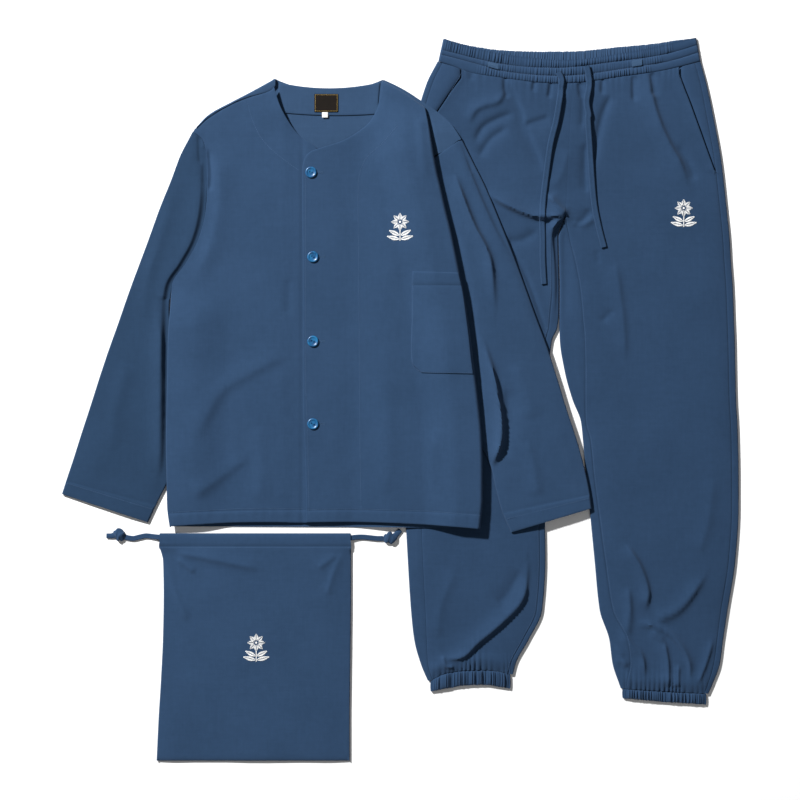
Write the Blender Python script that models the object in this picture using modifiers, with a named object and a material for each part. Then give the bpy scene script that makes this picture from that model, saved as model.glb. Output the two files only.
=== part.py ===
"""Pyjama set laid flat: a collarless shirt, gathered trousers and a drawstring pouch.

Tables and sizes are in millimetres: x runs across the laid-out set, y up it and z up from
the surface that it lies on. Left and right are the wearer's, so left is at +x.
"""
import math
from collections import namedtuple

import bmesh
import bpy

MM = 0.001

# Cloth and layers
CLOTH = 1.5            # wall of every cloth piece
SEAM = 0.3             # space between pieces that are sewn edge to edge
LAY = 0.5              # space under a piece that lies on a curved one
SOFT = 45.0            # width over which a panel rises from its folded edge

# Trousers
LEG_EDGE = 4.0         # height of a leg at its folded edge
LEG_MID = 6.0          # height of a leg in its middle
CROTCH = 291.0         # y where the two legs part
GATHERS = 46           # gathers across one face of the waistband
GATHER_DEPTH = 1.3
CUFF_GATHERS = 18
CUFF_HEIGHT = 16.0

# Shirt
PLATEAU = 6.5          # height at which the shirt rides over the trousers
PLATEAU_RAMP = 80.0
BODY_EDGE = 4.0
BODY_MID = 6.0
SLEEVE_EDGE = 3.8
SLEEVE_MID = 5.5
RIGHT_LIFT = 6.0       # rise of the body's edge over the sleeve at its right
LEFT_LIFT = 5.5        # the same at its left, for the back
LEFT_FOLD_LIFT = 7.5   # and for the front, which stands off it
UNDERARM = 185.0
PLACKET_UNDER = -121.0
PLACKET_STEP = 1.0

# Pouch
POUCH_EDGE = 3.8
POUCH_MID = 5.0
CASING_TOP = 6.0
CASING_SEAM = -227.0

# Small pieces
BUTTON_RADIUS = 9.0
BUTTON_THICK = 3.4
BUTTON_HOLE = 1.0
BUTTON_HOLE_SPACING = 4.0
DRAWCORD_WIDTH = 9.0
DRAWCORD_THICK = 2.0
DRAWCORD_LAY = 0.9     # space under a drawcord, which crosses soft folds
POUCH_CORD_WIDTH = 8.0

LegRow = namedtuple("LegRow", "y outer outseam inseam inner")
LEFT_LEG = [LegRow(*row) for row in (
    (525, 467, 457, 267, 267), (491, 476, 466, 267, 267), (434, 488, 477, 264, 264),
    (372, 499, 488, 261, 261), (291, 508, 497, 257, 257), (251, 512, 501, 263, 246),
    (217, 514, 503, 271, 247), (174, 517, 506, 279, 249), (95, 520, 509, 286, 248),
    (43, 521, 510, 287, 256), (0, 522, 511, 287, 268), (-34, 524, 513, 288, 281),
    (-62, 525, 514, 295, 284), (-119, 526, 515, 301, 289), (-166, 526, 515, 307, 294),
    (-248, 521, 510, 318, 302), (-326, 509, 498, 330, 310), (-372, 502, 492, 352, 325),
    (-409, 497, 487, 357, 330), (-440, 486, 478, 352, 340), (-456, 479, 472, 354, 346))]
RIGHT_LEG = [LegRow(*row) for row in (
    (525, 58, 66, 267, 267), (491, 41, 50, 267, 267), (434, 25, 34, 264, 264),
    (372, 16, 26, 261, 261), (291, 10, 22, 257, 257), (251, 9, 22, 234, 242),
    (217, 8, 22, 233, 242), (174, 6, 22, 233, 241), (95, 4, 22, 226, 234),
    (30, 4, 24, 222, 230), (-28, 4, 26, 219, 227), (-119, 7, 30, 217, 226),
    (-166, 8, 32, 216, 225), (-248, 12, 35, 217, 226), (-326, 17, 39, 212, 221),
    (-372, 22, 41, 191, 200), (-409, 32, 43, 172, 180), (-440, 45, 52, 165, 173))]

CentrePoint = namedtuple("CentrePoint", "y x")
CENTRE_SEAM = [CentrePoint(*row) for row in ((525, 267), (491, 267), (434, 264), (372, 261), (291, 257))]

WaistRow = namedtuple("WaistRow", "x back_top front_top channel seam")
WAIST = [WaistRow(*row) for row in (
    (58, 561, 558, 537, 525), (100, 553, 550, 524, 511), (150, 544, 536, 514, 500),
    (200, 539.5, 528.5, 507, 492), (250, 539, 525.5, 504.5, 491), (300, 543, 528, 507, 494),
    (350, 547, 535, 513.5, 502), (400, 553, 543.5, 520.5, 509), (440, 558, 551, 530, 517),
    (467, 561.5, 557, 538, 525))]
WAIST_LOW = 491.0      # lowest point of the waistband's seam
WAIST_CLEAR = 0.9      # space below the waistband's curved seam
BACK_BAND_CLEAR = 3.5
WAIST_FADE = 150.0     # length over which the rows below the waist straighten

CuffRow = namedtuple("CuffRow", "x top bottom")
LEFT_CUFF = [CuffRow(*row) for row in (
    (345, -448, -463), (378, -450, -466), (412, -452, -469), (446, -454, -471), (476, -456, -473))]
RIGHT_CUFF = [CuffRow(*row) for row in (
    (46, -436, -453), (72, -424, -448), (98, -420, -443.5), (130, -419, -442), (152, -421, -445),
    (172, -426, -448))]

SlantRow = namedtuple("SlantRow", "y left right")
SLANT = [SlantRow(*row) for row in ((511, 433, 95), (467, 449, 70), (440, 458, 55), (400, 472, 41),
                                    (353, 489, 30))]

FrontRow = namedtuple("FrontRow", "inner_x inner_y outer_x outer_y bow")
LEFT_FRONT = [FrontRow(*row) for row in (
    (-28, 496, 39, 453, 2), (-33, 462, 45, 424, 3), (-44, 436, 49, 400, 2), (-64, 417, 53, 376, 1),
    (-92, 401, 56, 360, 0), (-120, 392, 59, 346, 0), (-139, 385, 63, 330, 0), (-149, 373, 67, 312, 0),
    (-152, 353, 72, 290, 0), (-152, 320, 79, 262, 0), (-152, 280, 86, 228, 0), (-151, 235, 94, 188, 0),
    (-151, 185, 102, 145, 0), (-151, 130, 109, 98, 0), (-151, 70, 115, 50, 0), (-151, 10, 121, 0, 0),
    (-149, -50, 126, -50, 0), (-147, -100, 128, -100, 0), (-146, -148, 128, -150, 1),
    (-146, -190, 124, -199, 4))]
RIGHT_FRONT = [FrontRow(*row) for row in (
    (-195, 480, -320, 417, 4), (-188, 458, -306, 403, 3), (-176, 435, -301, 385, 1),
    (-155, 409, -300, 365, 0), (-131, 393, -299.5, 340, 0), (-121, 370, -300, 314, 0),
    (-121, 335, -302.5, 287, 0), (-121, 290, -313.5, 248, 0), (-121, 245, -331.5, 214, 0),
    (-121, 195, -354, 178, 0), (-121, 150, -357, 138, 0), (-121, 100, -360, 96, 0),
    (-121, 45, -361, 45, 0), (-121, -10, -362, -10, 0), (-121, -65, -363, -65, 0),
    (-121, -120, -362, -120, 0), (-121, -160, -361, -165, 1), (-121, -191, -357, -197, 4))]

BackRow = namedtuple("BackRow", "right_x right_y left_x left_y fade")
BACK = [BackRow(*row) for row in (
    (-321, 418, 94, 405.5, 1.0), (-304, 398, 71, 387, 0.72), (-300.5, 376, 46, 372, 0.48),
    (-299.5, 340, 46, 345, 0.24), (-302, 288, 60, 306, 0.06), (-313, 247, 70, 265, 0),
    (-331, 213, 79, 228, 0), (-353, 177, 88, 182, 0), (-353, 135, 96, 138, 0), (-356, 85, 103, 90, 0),
    (-358, 25, 112, 30, 0), (-359, -35, 118, -30, 0), (-359, -95, 122, -90, 0),
    (-357, -150, 122, -150, 0), (-354, -196, 119, -198, 0))]
TopPoint = namedtuple("TopPoint", "x outline seam")
BACK_TOP = [TopPoint(*row) for row in (
    (-323, 417, 417), (-297, 444, 437), (-263, 463, 458), (-234, 478, 470), (-196, 499, 481),
    (-163, 489, 489), (-124, 484, 484), (-80, 485, 485), (-48, 491, 491), (-27, 498, 498),
    (7, 482, 482), (36, 463, 463), (58, 448, 448), (78, 430, 430), (95, 405, 405))]

SleeveRow = namedtuple("SleeveRow", "outer_x outer_y inner_x inner_y closed")
RIGHT_SLEEVE = [SleeveRow(*row) for row in (
    (-329, 407, -307, 403, 0), (-341, 380, -302, 382, 0), (-356, 340, -300.5, 340, 0),
    (-373, 298, -303, 288, 0), (-391, 248, -314.5, 247, 0), (-404, 213, -332.5, 213, 0),
    (-416, 181, -355, 177, 0), (-427, 150, -358, 138, 1), (-438, 118, -352, 100, 1),
    (-453, 76, -340, 50, 1), (-467, 34, -334, 0, 1), (-480, -7, -336, -45, 1),
    (-495, -53, -345, -92, 1), (-508, -94, -361, -128, 1), (-517, -121, -376, -158, 1),
    (-525, -146, -391, -190, 1))]
LEFT_SLEEVE = [SleeveRow(*row) for row in (
    (96, 403, 53, 371, 1), (112, 371, 56, 342, 1), (132, 331, 58, 305, 1), (153, 281, 61, 258, 1),
    (173, 231, 67, 205, 1), (192, 180, 75, 148, 1), (210, 130, 83, 98, 1), (228, 82, 90, 50, 1),
    (244, 33, 99, 2, 1), (258, -13, 113, -42, 1), (271, -52, 128, -76, 1), (281, -86, 141, -104, 1),
    (289, -119, 148, -135, 1), (294, -145, 158, -172, 1), (297, -168, 172, -205, 1))]

Patch = namedtuple("Patch", "left_x left_y right_x right_y")
CHEST_POCKET = [Patch(*row) for row in ((19, 199, 86, 196.5), (18, 165, 92, 165), (18, 130, 98, 130),
                                        (17, 95, 103, 95), (17, 62, 107.5, 62), (33, 42, 110.5, 40))]
NECK_FACING = [Patch(*row) for row in ((-172, 485, -33, 490), (-173, 472, -35, 473),
                                       (-173, 458, -38, 457), (-171, 444, -44, 441))]

PouchRow = namedtuple("PouchRow", "y left right")
POUCH = [PouchRow(*row) for row in (
    (-207, -373, -77), (-217, -373, -76.5), (-227, -374, -76), (-236, -371, -76), (-250, -368, -76),
    (-301, -367, -76), (-364, -368, -76.5), (-430, -371, -77.3), (-496, -375, -78),
    (-560, -378, -78))]

Fold = namedtuple("Fold", "x0 y0 x1 y1 width height")
TROUSER_FOLDS = [Fold(*row) for row in (
    (389, 480, 410, 425, 13, 1.8), (410, 425, 450, 310, 13, 2.0), (172, 470, 192, 425, 12, 2.2),
    (192, 425, 208, 385, 12, 2.2), (250, 286, 188, 303, 14, 2.4), (270, 290, 318, 318, 14, 1.8), (335, 215, 350, 65, 14, 1.6), (198, -262, 152, -350, 13, 4.5),
    (152, -350, 92, -400, 13, 4.5), (349, -228, 384, -298, 13, 2.4), (474, -274, 440, -319, 13, 2.8),
    (440, -319, 401, -339, 13, 2.6), (372, -352, 442, -412, 13, 2.8))]
SHIRT_FOLDS = [Fold(*row) for row in (
    (-318, -149, -194, -73, 16, 1.5), (-329, -76, -298, 6, 16, 1.4), (-285, 330, -298, 190, 14, 1.6))]
SLEEVE_FOLDS = [Fold(*row) for row in (
    (-330, 360, -352, 215, 13, 2.6), (118, 300, 142, 215, 13, 2.6), (142, 215, 152, 130, 13, 2.4),
    (158, 60, 171, -20, 13, 2.6), (171, -20, 158, -90, 13, 2.2))]

CordPoint = namedtuple("CordPoint", "x y")
LEFT_DRAWCORD = [CordPoint(*row) for row in (
    (289, 518), (292, 503), (293, 488), (289, 462), (292, 442), (291, 434), (294, 391), (297, 347),
    (301, 304), (308, 268), (316, 237))]
RIGHT_DRAWCORD = [CordPoint(*row) for row in (
    (245, 508), (250, 497), (249, 484), (248, 471), (242, 434), (237, 414), (232, 391), (227, 353),
    (222, 312), (220, 282), (221, 250), (221, 217), (223, 180))]
RIGHT_POUCH_CORD = [CordPoint(*row) for row in (
    (-365, -213), (-373, -213), (-384, -212), (-395, -211), (-405, -213), (-415, -215), (-427, -213))]
LEFT_POUCH_CORD = [CordPoint(*row) for row in (
    (-84, -214), (-76, -214), (-66, -213), (-56, -213), (-46, -214), (-36, -215), (-26, -215))]
KnotPoint = namedtuple("KnotPoint", "x y across rise")
RIGHT_KNOT = [KnotPoint(*row) for row in (
    (-427.4, -213, 4.0, 2.6), (-431, -212, 7.5, 5.6), (-436, -209, 9.0, 7.4), (-441, -209, 8.0, 6.2),
    (-444, -210, 4.6, 3.2), (-449, -211, 4.0, 2.6), (-456, -211, 3.8, 2.2))]
LEFT_KNOT = [KnotPoint(*row) for row in (
    (-25.6, -215, 4.0, 2.6), (-22, -215, 7.2, 5.4), (-16, -214, 8.6, 7.4), (-10, -213, 7.2, 5.8),
    (-7, -210, 4.4, 3.2), (-3, -206, 4.0, 2.6), (1, -202, 3.6, 2.2))]

BUTTONS = [CordPoint(*row) for row in ((-138, 353), (-135, 222), (-135, 91), (-135, -37))]

NAVY = (0.042, 0.091, 0.188, 1.0)
MATERIALS = {}


def material(name, colour, roughness):
    """Return the plain material of this name, made once."""
    if name not in MATERIALS:
        made = bpy.data.materials.new(name)
        made.use_nodes = True
        shader = made.node_tree.nodes["Principled BSDF"]
        shader.inputs["Base Color"].default_value = colour
        shader.inputs["Roughness"].default_value = roughness
        shader.inputs["Metallic"].default_value = 0.0
        MATERIALS[name] = made
    return MATERIALS[name]


def step(t):
    """Rise smoothly from 0 to 1 as t does."""
    t = min(1.0, max(0.0, t))
    return t * t * (3.0 - 2.0 * t)


def mix(a, b, t):
    """Blend two numbers."""
    return a + (b - a) * t


def curve_at(table, key, value, at):
    """Read a column of a table along another, on a smooth curve through its rows."""
    rows = sorted((getattr(row, key), getattr(row, value)) for row in table)
    if at <= rows[0][0]:
        return rows[0][1]
    if at >= rows[-1][0]:
        return rows[-1][1]
    k = max(i for i, row in enumerate(rows) if row[0] <= at)
    slopes = [(rows[i + 1][1] - rows[i][1]) / (rows[i + 1][0] - rows[i][0]) for i in range(len(rows) - 1)]

    def tangent(i):
        if i in (0, len(rows) - 1):
            return slopes[min(i, len(slopes) - 1)]
        a, b = slopes[i - 1], slopes[i]
        return 0.0 if a * b <= 0 else 2.0 * a * b / (a + b)

    span = rows[k + 1][0] - rows[k][0]
    t = (at - rows[k][0]) / span
    return ((2 * t ** 3 - 3 * t ** 2 + 1) * rows[k][1] + (t ** 3 - 2 * t ** 2 + t) * span * tangent(k)
            + (3 * t ** 2 - 2 * t ** 3) * rows[k + 1][1] + (t ** 3 - t ** 2) * span * tangent(k + 1))


def folds_at(folds, x, y):
    """Add up the soft ridges of a list of folds at one point."""
    total = 0.0
    for fold in folds:
        dx, dy = fold.x1 - fold.x0, fold.y1 - fold.y0
        t = ((x - fold.x0) * dx + (y - fold.y0) * dy) / (dx * dx + dy * dy)
        t = min(1.0, max(0.0, t))
        away = math.hypot(x - fold.x0 - dx * t, y - fold.y0 - dy * t)
        total = max(total, fold.height * math.exp(-(away / fold.width) ** 2))
    return total


def rise(distance, edge):
    """Share of its full height that a panel has at a distance from its folded edge."""
    return 1.0 - (1.0 - min(1.0, max(0.0, distance - edge / 2) / SOFT)) ** 2


def leg_x(rows, column, y):
    """The x of one of a leg's edges or seams: above the crotch, both legs end at the centre seam."""
    if y >= CROTCH and column in ("inner", "inseam"):
        return curve_at(CENTRE_SEAM, "y", "x", y)
    return curve_at(rows, "y", column, y)


# Heights of the laid cloth

def leg_rows(x, y):
    """The table of the leg that a point is on."""
    middle = (curve_at(LEFT_LEG, "y", "inner", y) + curve_at(RIGHT_LEG, "y", "inner", y)) / 2
    return LEFT_LEG if x > middle else RIGHT_LEG


def trousers_top(x, y):
    """Height of the trousers' upper face."""
    rows = leg_rows(x, y)
    outer = rise(abs(x - curve_at(rows, "y", "outer", y)), LEG_EDGE)
    inner = rise(abs(x - curve_at(rows, "y", "inner", y)), LEG_EDGE)
    share = outer * mix(1.0, inner, step((CROTCH - y) / 40.0))
    return mix(LEG_EDGE, LEG_MID, share) + share * folds_at(TROUSER_FOLDS, x, y)


def plateau(x, y):
    """Height of what the shirt lies on: the surface, then the trousers' right leg."""
    edge = curve_at(RIGHT_LEG, "y", "outer", y)
    return PLATEAU * step((x - edge + 10.0 + PLATEAU_RAMP) / PLATEAU_RAMP)


def body_edges(y):
    """The x of the shirt body's right and left edges at a height."""
    return curve_at(RIGHT_FRONT, "outer_y", "outer_x", y), curve_at(LEFT_FRONT, "outer_y", "outer_x", y)


def back_base(x, y):
    """Height of the underside of the shirt's back."""
    right, left = body_edges(y)
    over_right = RIGHT_LIFT * step((right + 100.0 - x) / 60.0) * step((UNDERARM - y) / 75.0)
    over_left = LEFT_LIFT * step((x - left + 95.0) / 60.0) * step((372.0 - y) / 42.0)
    return plateau(x, y) + over_right + over_left


def front_top(x, y):
    """Height of the upper face of the shirt's fronts."""
    right, left = body_edges(y)
    base = plateau(x, y) + RIGHT_LIFT * step((right + 100.0 - x) / 60.0) * step((UNDERARM - y) / 75.0)
    base += LEFT_FOLD_LIFT * step((x - left + 95.0) / 60.0) * step((470.0 - y) / 90.0)
    height = mix(BODY_EDGE, BODY_MID, rise(x - right, BODY_EDGE) if y < UNDERARM + 40 else 1.0)
    side = step((y - UNDERARM + 10.0) / 50.0)
    height = mix(height, mix(BODY_MID - 1.0, BODY_MID, rise(x - right, BODY_EDGE)), side)
    return base + height + folds_at(SHIRT_FOLDS, x, y)


# Meshes

def finish(name, mesh_maker, colour=NAVY, finish_name="brushed_cotton", roughness=0.9):
    """Turn a filled bmesh into a named object in the set's collection."""
    mesh = bpy.data.meshes.new(name)
    bmesh.ops.recalc_face_normals(mesh_maker, faces=mesh_maker.faces)
    mesh_maker.to_mesh(mesh)
    mesh_maker.free()
    made = bpy.data.objects.new(name, mesh)
    made.data.materials.append(material(finish_name, colour, roughness))
    SET.objects.link(made)
    return made


def walled(name, rows):
    """Close rows of (outer, inner) point pairs into one sheet with a wall."""
    shape = bmesh.new()
    outer = [[shape.verts.new([c * MM for c in pair[0]]) for pair in row] for row in rows]
    inner = [[shape.verts.new([c * MM for c in pair[1]]) for pair in row] for row in rows]

    def quad(a, b, c, d):
        shape.faces.new((a, b, c))
        shape.faces.new((a, c, d))

    last, end = len(rows) - 1, len(rows[0]) - 1
    for i in range(last):
        for j in range(end):
            quad(outer[i][j], outer[i + 1][j], outer[i + 1][j + 1], outer[i][j + 1])
            quad(inner[i][j], inner[i][j + 1], inner[i + 1][j + 1], inner[i + 1][j])
        quad(outer[i][0], inner[i][0], inner[i + 1][0], outer[i + 1][0])
        quad(outer[i][end], outer[i + 1][end], inner[i + 1][end], inner[i][end])
    for j in range(end):
        quad(outer[0][j], outer[0][j + 1], inner[0][j + 1], inner[0][j])
        quad(outer[last][j], inner[last][j], inner[last][j + 1], outer[last][j + 1])
    return finish(name, shape)


def on_line(start, stop, along):
    """The point a length along the line from start to stop."""
    length = math.hypot(stop[0] - start[0], stop[1] - start[1])
    t = along / length
    return mix(start[0], stop[0], t), mix(start[1], stop[1], t)


def top_pair(point, z, wall=CLOTH):
    """A point of an upper layer, with its wall below it."""
    return (point[0], point[1], z), (point[0], point[1], z - wall)


def low_pair(point, z, wall=CLOTH):
    """A point of a lower layer, with its wall above it."""
    return (point[0], point[1], z), (point[0], point[1], z + wall)


def fold_pair(start, stop, radius, base, angle):
    """A point on the rounded fold at start, at an angle from level, with its wall inside it."""
    pair = []
    for reach in (radius, radius - CLOTH):
        x, y = on_line(start, stop, radius - reach * math.cos(angle))
        pair.append((x, y, base + radius + reach * math.sin(angle)))
    return tuple(pair)


def spread(start, stop, count):
    """Evenly spaced numbers, both ends included."""
    return [mix(start, stop, i / (count - 1)) for i in range(count)]


# Trousers

LEG_LEVELS = (491, 466, 436, 404, 370, 330, 291, 270, 251, 222, 184, 140, 92, 43, 0, -45, -90, -140,
              -190, -236, -274, -308, -338, -366, -392, -424)


def leg_level(rows, level, x):
    """The y of a leg's row at an x: bowed at the waist and over the cuff, level between."""
    waist = curve_at(WAIST, "x", "seam", x) - WAIST_LOW
    y = level + waist * step((level - WAIST_LOW + WAIST_FADE) / WAIST_FADE)
    cuff = LEFT_CUFF if rows is LEFT_LEG else RIGHT_CUFF
    foot = curve_at(cuff, "x", "top", x) + SEAM
    return mix(y, foot, step((LEG_LEVELS[0] - level - 740.0) / 175.0))


def leg_ends(rows, level, near, far):
    """End points of a leg's row between two of its table's columns."""
    ends = []
    for column in (near, far):
        x = leg_x(rows, column, level)
        for _ in range(3):
            x = leg_x(rows, column, leg_level(rows, level, x))
        ends.append(x)
    return ends


def leg_front(name, rows, columns=11):
    """Front of one leg, from its outseam to the centre seam or inseam."""
    slant = "left" if rows is LEFT_LEG else "right"
    sign = 1.0 if rows is LEFT_LEG else -1.0
    pairs = []
    for level in LEG_LEVELS:
        outseam, inseam = leg_ends(rows, level, "outseam", "inseam")
        if level > SLANT[-1].y:
            outseam = curve_at(SLANT, "y", slant, leg_level(rows, level, outseam)) - sign * SEAM
        pairs.append([])
        for x in spread(outseam - sign * SEAM / 2, inseam + sign * SEAM / 2, columns + 1):
            y = leg_level(rows, level, x) - (WAIST_CLEAR if level == LEG_LEVELS[0] else 0.0)
            pairs[-1].append(top_pair((x, y), trousers_top(x, y)))
    return walled(name, pairs)


def leg_back(name, rows):
    """Back of one leg: under it, round both folds and up to the seams on its front."""
    pairs = []
    radius = LEG_EDGE / 2
    for level in LEG_LEVELS:
        outer, inner = leg_ends(rows, level, "outer", "inner")
        outseam, inseam = leg_ends(rows, level, "outseam", "inseam")
        sign = 1.0 if inner > outer else -1.0
        row = []

        def at(x):
            return x, leg_level(rows, level, x) - (WAIST_CLEAR if level == LEG_LEVELS[0] else 0.0)

        for x in (outseam - sign * SEAM / 2, outer + sign * radius):
            row.append(top_pair(at(x), trousers_top(*at(x))))
        row.append(fold_pair(at(outer), at(inner), radius, 0.0, 0.0))
        for x in spread(outer + sign * radius, inner - sign * radius, 4):
            row.append(low_pair(at(x), 0.0))
        if level >= CROTCH:
            for back_off in (1.2, 0.6, SEAM / 2):
                row.append(low_pair(at(inner - sign * back_off), 0.0))
        else:
            row.append(fold_pair(at(inner), at(outer), radius, 0.0, 0.0))
            for x in (inner - sign * radius, inseam + sign * SEAM / 2):
                row.append(top_pair(at(x), trousers_top(*at(x))))
        pairs.append(row)
    return walled(name, pairs)


def pocket_side(name, rows):
    """Panel behind a slanted pocket opening, from the slant to the outseam."""
    slant = "left" if rows is LEFT_LEG else "right"
    sign = 1.0 if rows is LEFT_LEG else -1.0
    pairs = []
    for level in [level for level in LEG_LEVELS if level > SLANT[-1].y]:
        outseam = leg_ends(rows, level, "outseam", "inseam")[0]
        opening = curve_at(SLANT, "y", slant, leg_level(rows, level, outseam)) + sign * SEAM
        pairs.append([])
        for x in spread(opening, outseam - sign * SEAM / 2, 4):
            y = leg_level(rows, level, x) - (WAIST_CLEAR if level == LEG_LEVELS[0] else 0.0)
            pairs[-1].append(top_pair((x, y), trousers_top(x, y)))
    return walled(name, pairs)


def band_side(y, which):
    """The x of the waistband's end at a height."""
    return mix(59.0, 67.0, (y - 524.0) / 36.0) if which < 0 else mix(467.0, 460.5, (y - 525.0) / 36.0)


def waistband_front(name):
    """Front of the gathered waistband, turned down round both ends."""
    pairs = []
    rows = (("front_top", 0.0, 5.0, 0.8), ("front_top", 0.9, 5.2, 0.5), ("channel", 0.45, 5.5, 1.0),
            ("seam", 0.0, 5.0, 0.6))
    following = {"front_top": "channel", "channel": "seam", "seam": "seam"}
    count = 2 * GATHERS
    for column, share, height, depth in rows:
        row = []
        for k in range(count + 1):
            x = mix(60.0, 466.0, k / count)
            y = mix(curve_at(WAIST, "x", column, x), curve_at(WAIST, "x", following[column], x), share)
            y += SEAM / 2 if column == "seam" else 0.0
            x = mix(band_side(y, -1) + 2.5, band_side(y, 1) - 2.5, k / count)
            raised = GATHER_DEPTH * depth * (k % 2)
            row.append(((x, y, height + raised), (x, y, height - CLOTH)))
        for at, side in ((0, -1), (len(row), 1)):
            end = row[0 if at == 0 else -1][0]
            x = band_side(end[1], side)
            row.insert(at if at == 0 else len(row), ((x, end[1], 2.4), (x - side * CLOTH, end[1], 2.4)))
            low = ((x - side * 0.6, end[1], 0.2), (x - side * (CLOTH + 0.6), end[1], 0.9))
            row.insert(at if at == 0 else len(row), low)
        pairs.append(row)
    return walled(name, pairs)


def waistband_back(name):
    """Back of the waistband, whose gathered inside shows above the front's edge."""
    pairs = []
    count = 2 * GATHERS
    for column, share, depth in (("back_top", 0.0, 0.5), ("back_top", 0.25, 1.0), ("seam", 0.0, 0.3)):
        row = []
        for k in range(count + 1):
            x = mix(66.0, 460.0, k / count)
            y = mix(curve_at(WAIST, "x", column, x), curve_at(WAIST, "x", "seam", x), share)
            y += BACK_BAND_CLEAR if column == "seam" else 0.0
            x = mix(band_side(y, -1) + 3.0, band_side(y, 1) - 3.0, k / count)
            row.append(((x, y, 0.0), (x, y, CLOTH + 0.9 * depth * (k % 2))))
        pairs.append(row)
    return walled(name, pairs)


def cuff(name, table, left, right):
    """Gathered cuff of a leg: a flat tube with its gathers on the upper face."""
    radius = LEG_EDGE / 2
    count = 2 * CUFF_GATHERS
    pairs = []
    for share, inset, height, depth in ((0.0, 0.0, 5.0, 0.5), (0.5, 1.0, 5.4, 1.0), (1.0, 0.0, 4.6, 0.5)):
        def at(x):
            top = curve_at(table, "x", "top", x) - SEAM
            return x, mix(top, curve_at(table, "x", "bottom", x), share)

        start, stop = left - inset, right + inset
        row = [low_pair(at(x), 0.0) for x in spread(stop - radius - 1.0, start + radius, 4)]
        row.append(fold_pair(at(start), at(stop), radius, 0.0, 0.0))
        for k, x in enumerate(spread(start + radius, stop - radius, count + 1)):
            raised = GATHER_DEPTH * depth * (k % 2)
            flat = LEG_EDGE if k in (0, count) else height
            row.append(((*at(x), flat + raised), (*at(x), flat - CLOTH)))
        row.append(fold_pair(at(stop), at(start), radius, 0.0, 0.0))
        row.append(low_pair(at(stop - radius), 0.0))
        pairs.append(row)
    return walled(name, pairs)


# Shirt

def sleeve(name, table, base_at):
    """One sleeve: a flat tube whose seam lies under its inner fold, open to the armhole above."""
    radius = SLEEVE_EDGE / 2
    pairs = []
    for row in table:
        outer, inner = (row.outer_x, row.outer_y), (row.inner_x, row.inner_y)
        width = math.hypot(inner[0] - outer[0], inner[1] - outer[1])

        def top_at(along):
            point = on_line(outer, inner, along)
            edge = rise(width - along, SLEEVE_EDGE) if row.closed else mix(0.6, 1.0, rise(width - along, 0.0))
            share = rise(along, SLEEVE_EDGE) * edge
            if not row.closed:
                share = max(share, 0.7 * step(along / width))
            height = mix(SLEEVE_EDGE, SLEEVE_MID, share) + share * folds_at(SLEEVE_FOLDS, *point)
            return top_pair(point, base_at(*point) + height)

        def low_at(along):
            point = on_line(outer, inner, along)
            return low_pair(point, base_at(*point))

        end = width - radius if row.closed else width
        pair_row = [low_at(along) for along in spread(end - (1.0 if row.closed else 0.0), radius, 5)]
        pair_row.append(fold_pair(outer, inner, radius, base_at(*outer), 0.0))
        if row.closed:
            pair_row += [top_at(along) for along in spread(radius, end, 9)]
            pair_row.append(fold_pair(inner, outer, radius, base_at(*inner), 0.0))
            pair_row.append(low_at(end))
        else:
            pair_row += [top_at(along) for along in spread(radius, end - 1.6, 9)]
            pair_row += [top_at(along) for along in (end - 0.8, end)]
        pairs.append(pair_row)
    return walled(name, pairs)


def shirt_front(name, table, columns, placket, fold_from, radius_at):
    """One front, from its buttoned edge to the armhole and round the side fold."""
    pairs = []
    for row in table:
        inner, outer = (row.inner_x, row.inner_y), (row.outer_x, row.outer_y)
        width = math.hypot(inner[0] - outer[0], inner[1] - outer[1])
        folded = row.outer_y < fold_from
        radius = radius_at(row.outer_y)

        def at(along):
            x, y = on_line(inner, outer, along)
            t = along / width
            y += 4.0 * row.bow * t * (1.0 - t)
            return x, y

        end = width - radius if folded else width - 1.0
        pair_row = []
        for along in spread(0.0, end, columns + 1):
            x, y = at(along)
            pair_row.append(top_pair((x, y), front_top(x, y) + placket(x, y)))
        edge_top = pair_row[-1][0][2]
        if folded:
            pair_row.append(fold_pair(outer, inner, radius, edge_top - 2 * radius, 0.0))
            pair_row.append(low_pair(at(end), edge_top - 2 * radius))
        else:
            pair_row += [top_pair(at(along), edge_top) for along in (width - 0.5, width)]
        pairs.append(pair_row)
    return walled(name, pairs)


def over_placket(x, y):
    """Rise of the upper front over the lower one at the buttoned edge."""
    return PLACKET_STEP * (1.0 - step((x + 110.0) / 50.0)) * step((430.0 - y) / 40.0)


def under_placket(x, y):
    """Drop of the lower front beneath the upper one at the buttoned edge."""
    return -PLACKET_STEP * step((x + 185.0) / 25.0) * step((430.0 - y) / 40.0)


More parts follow.
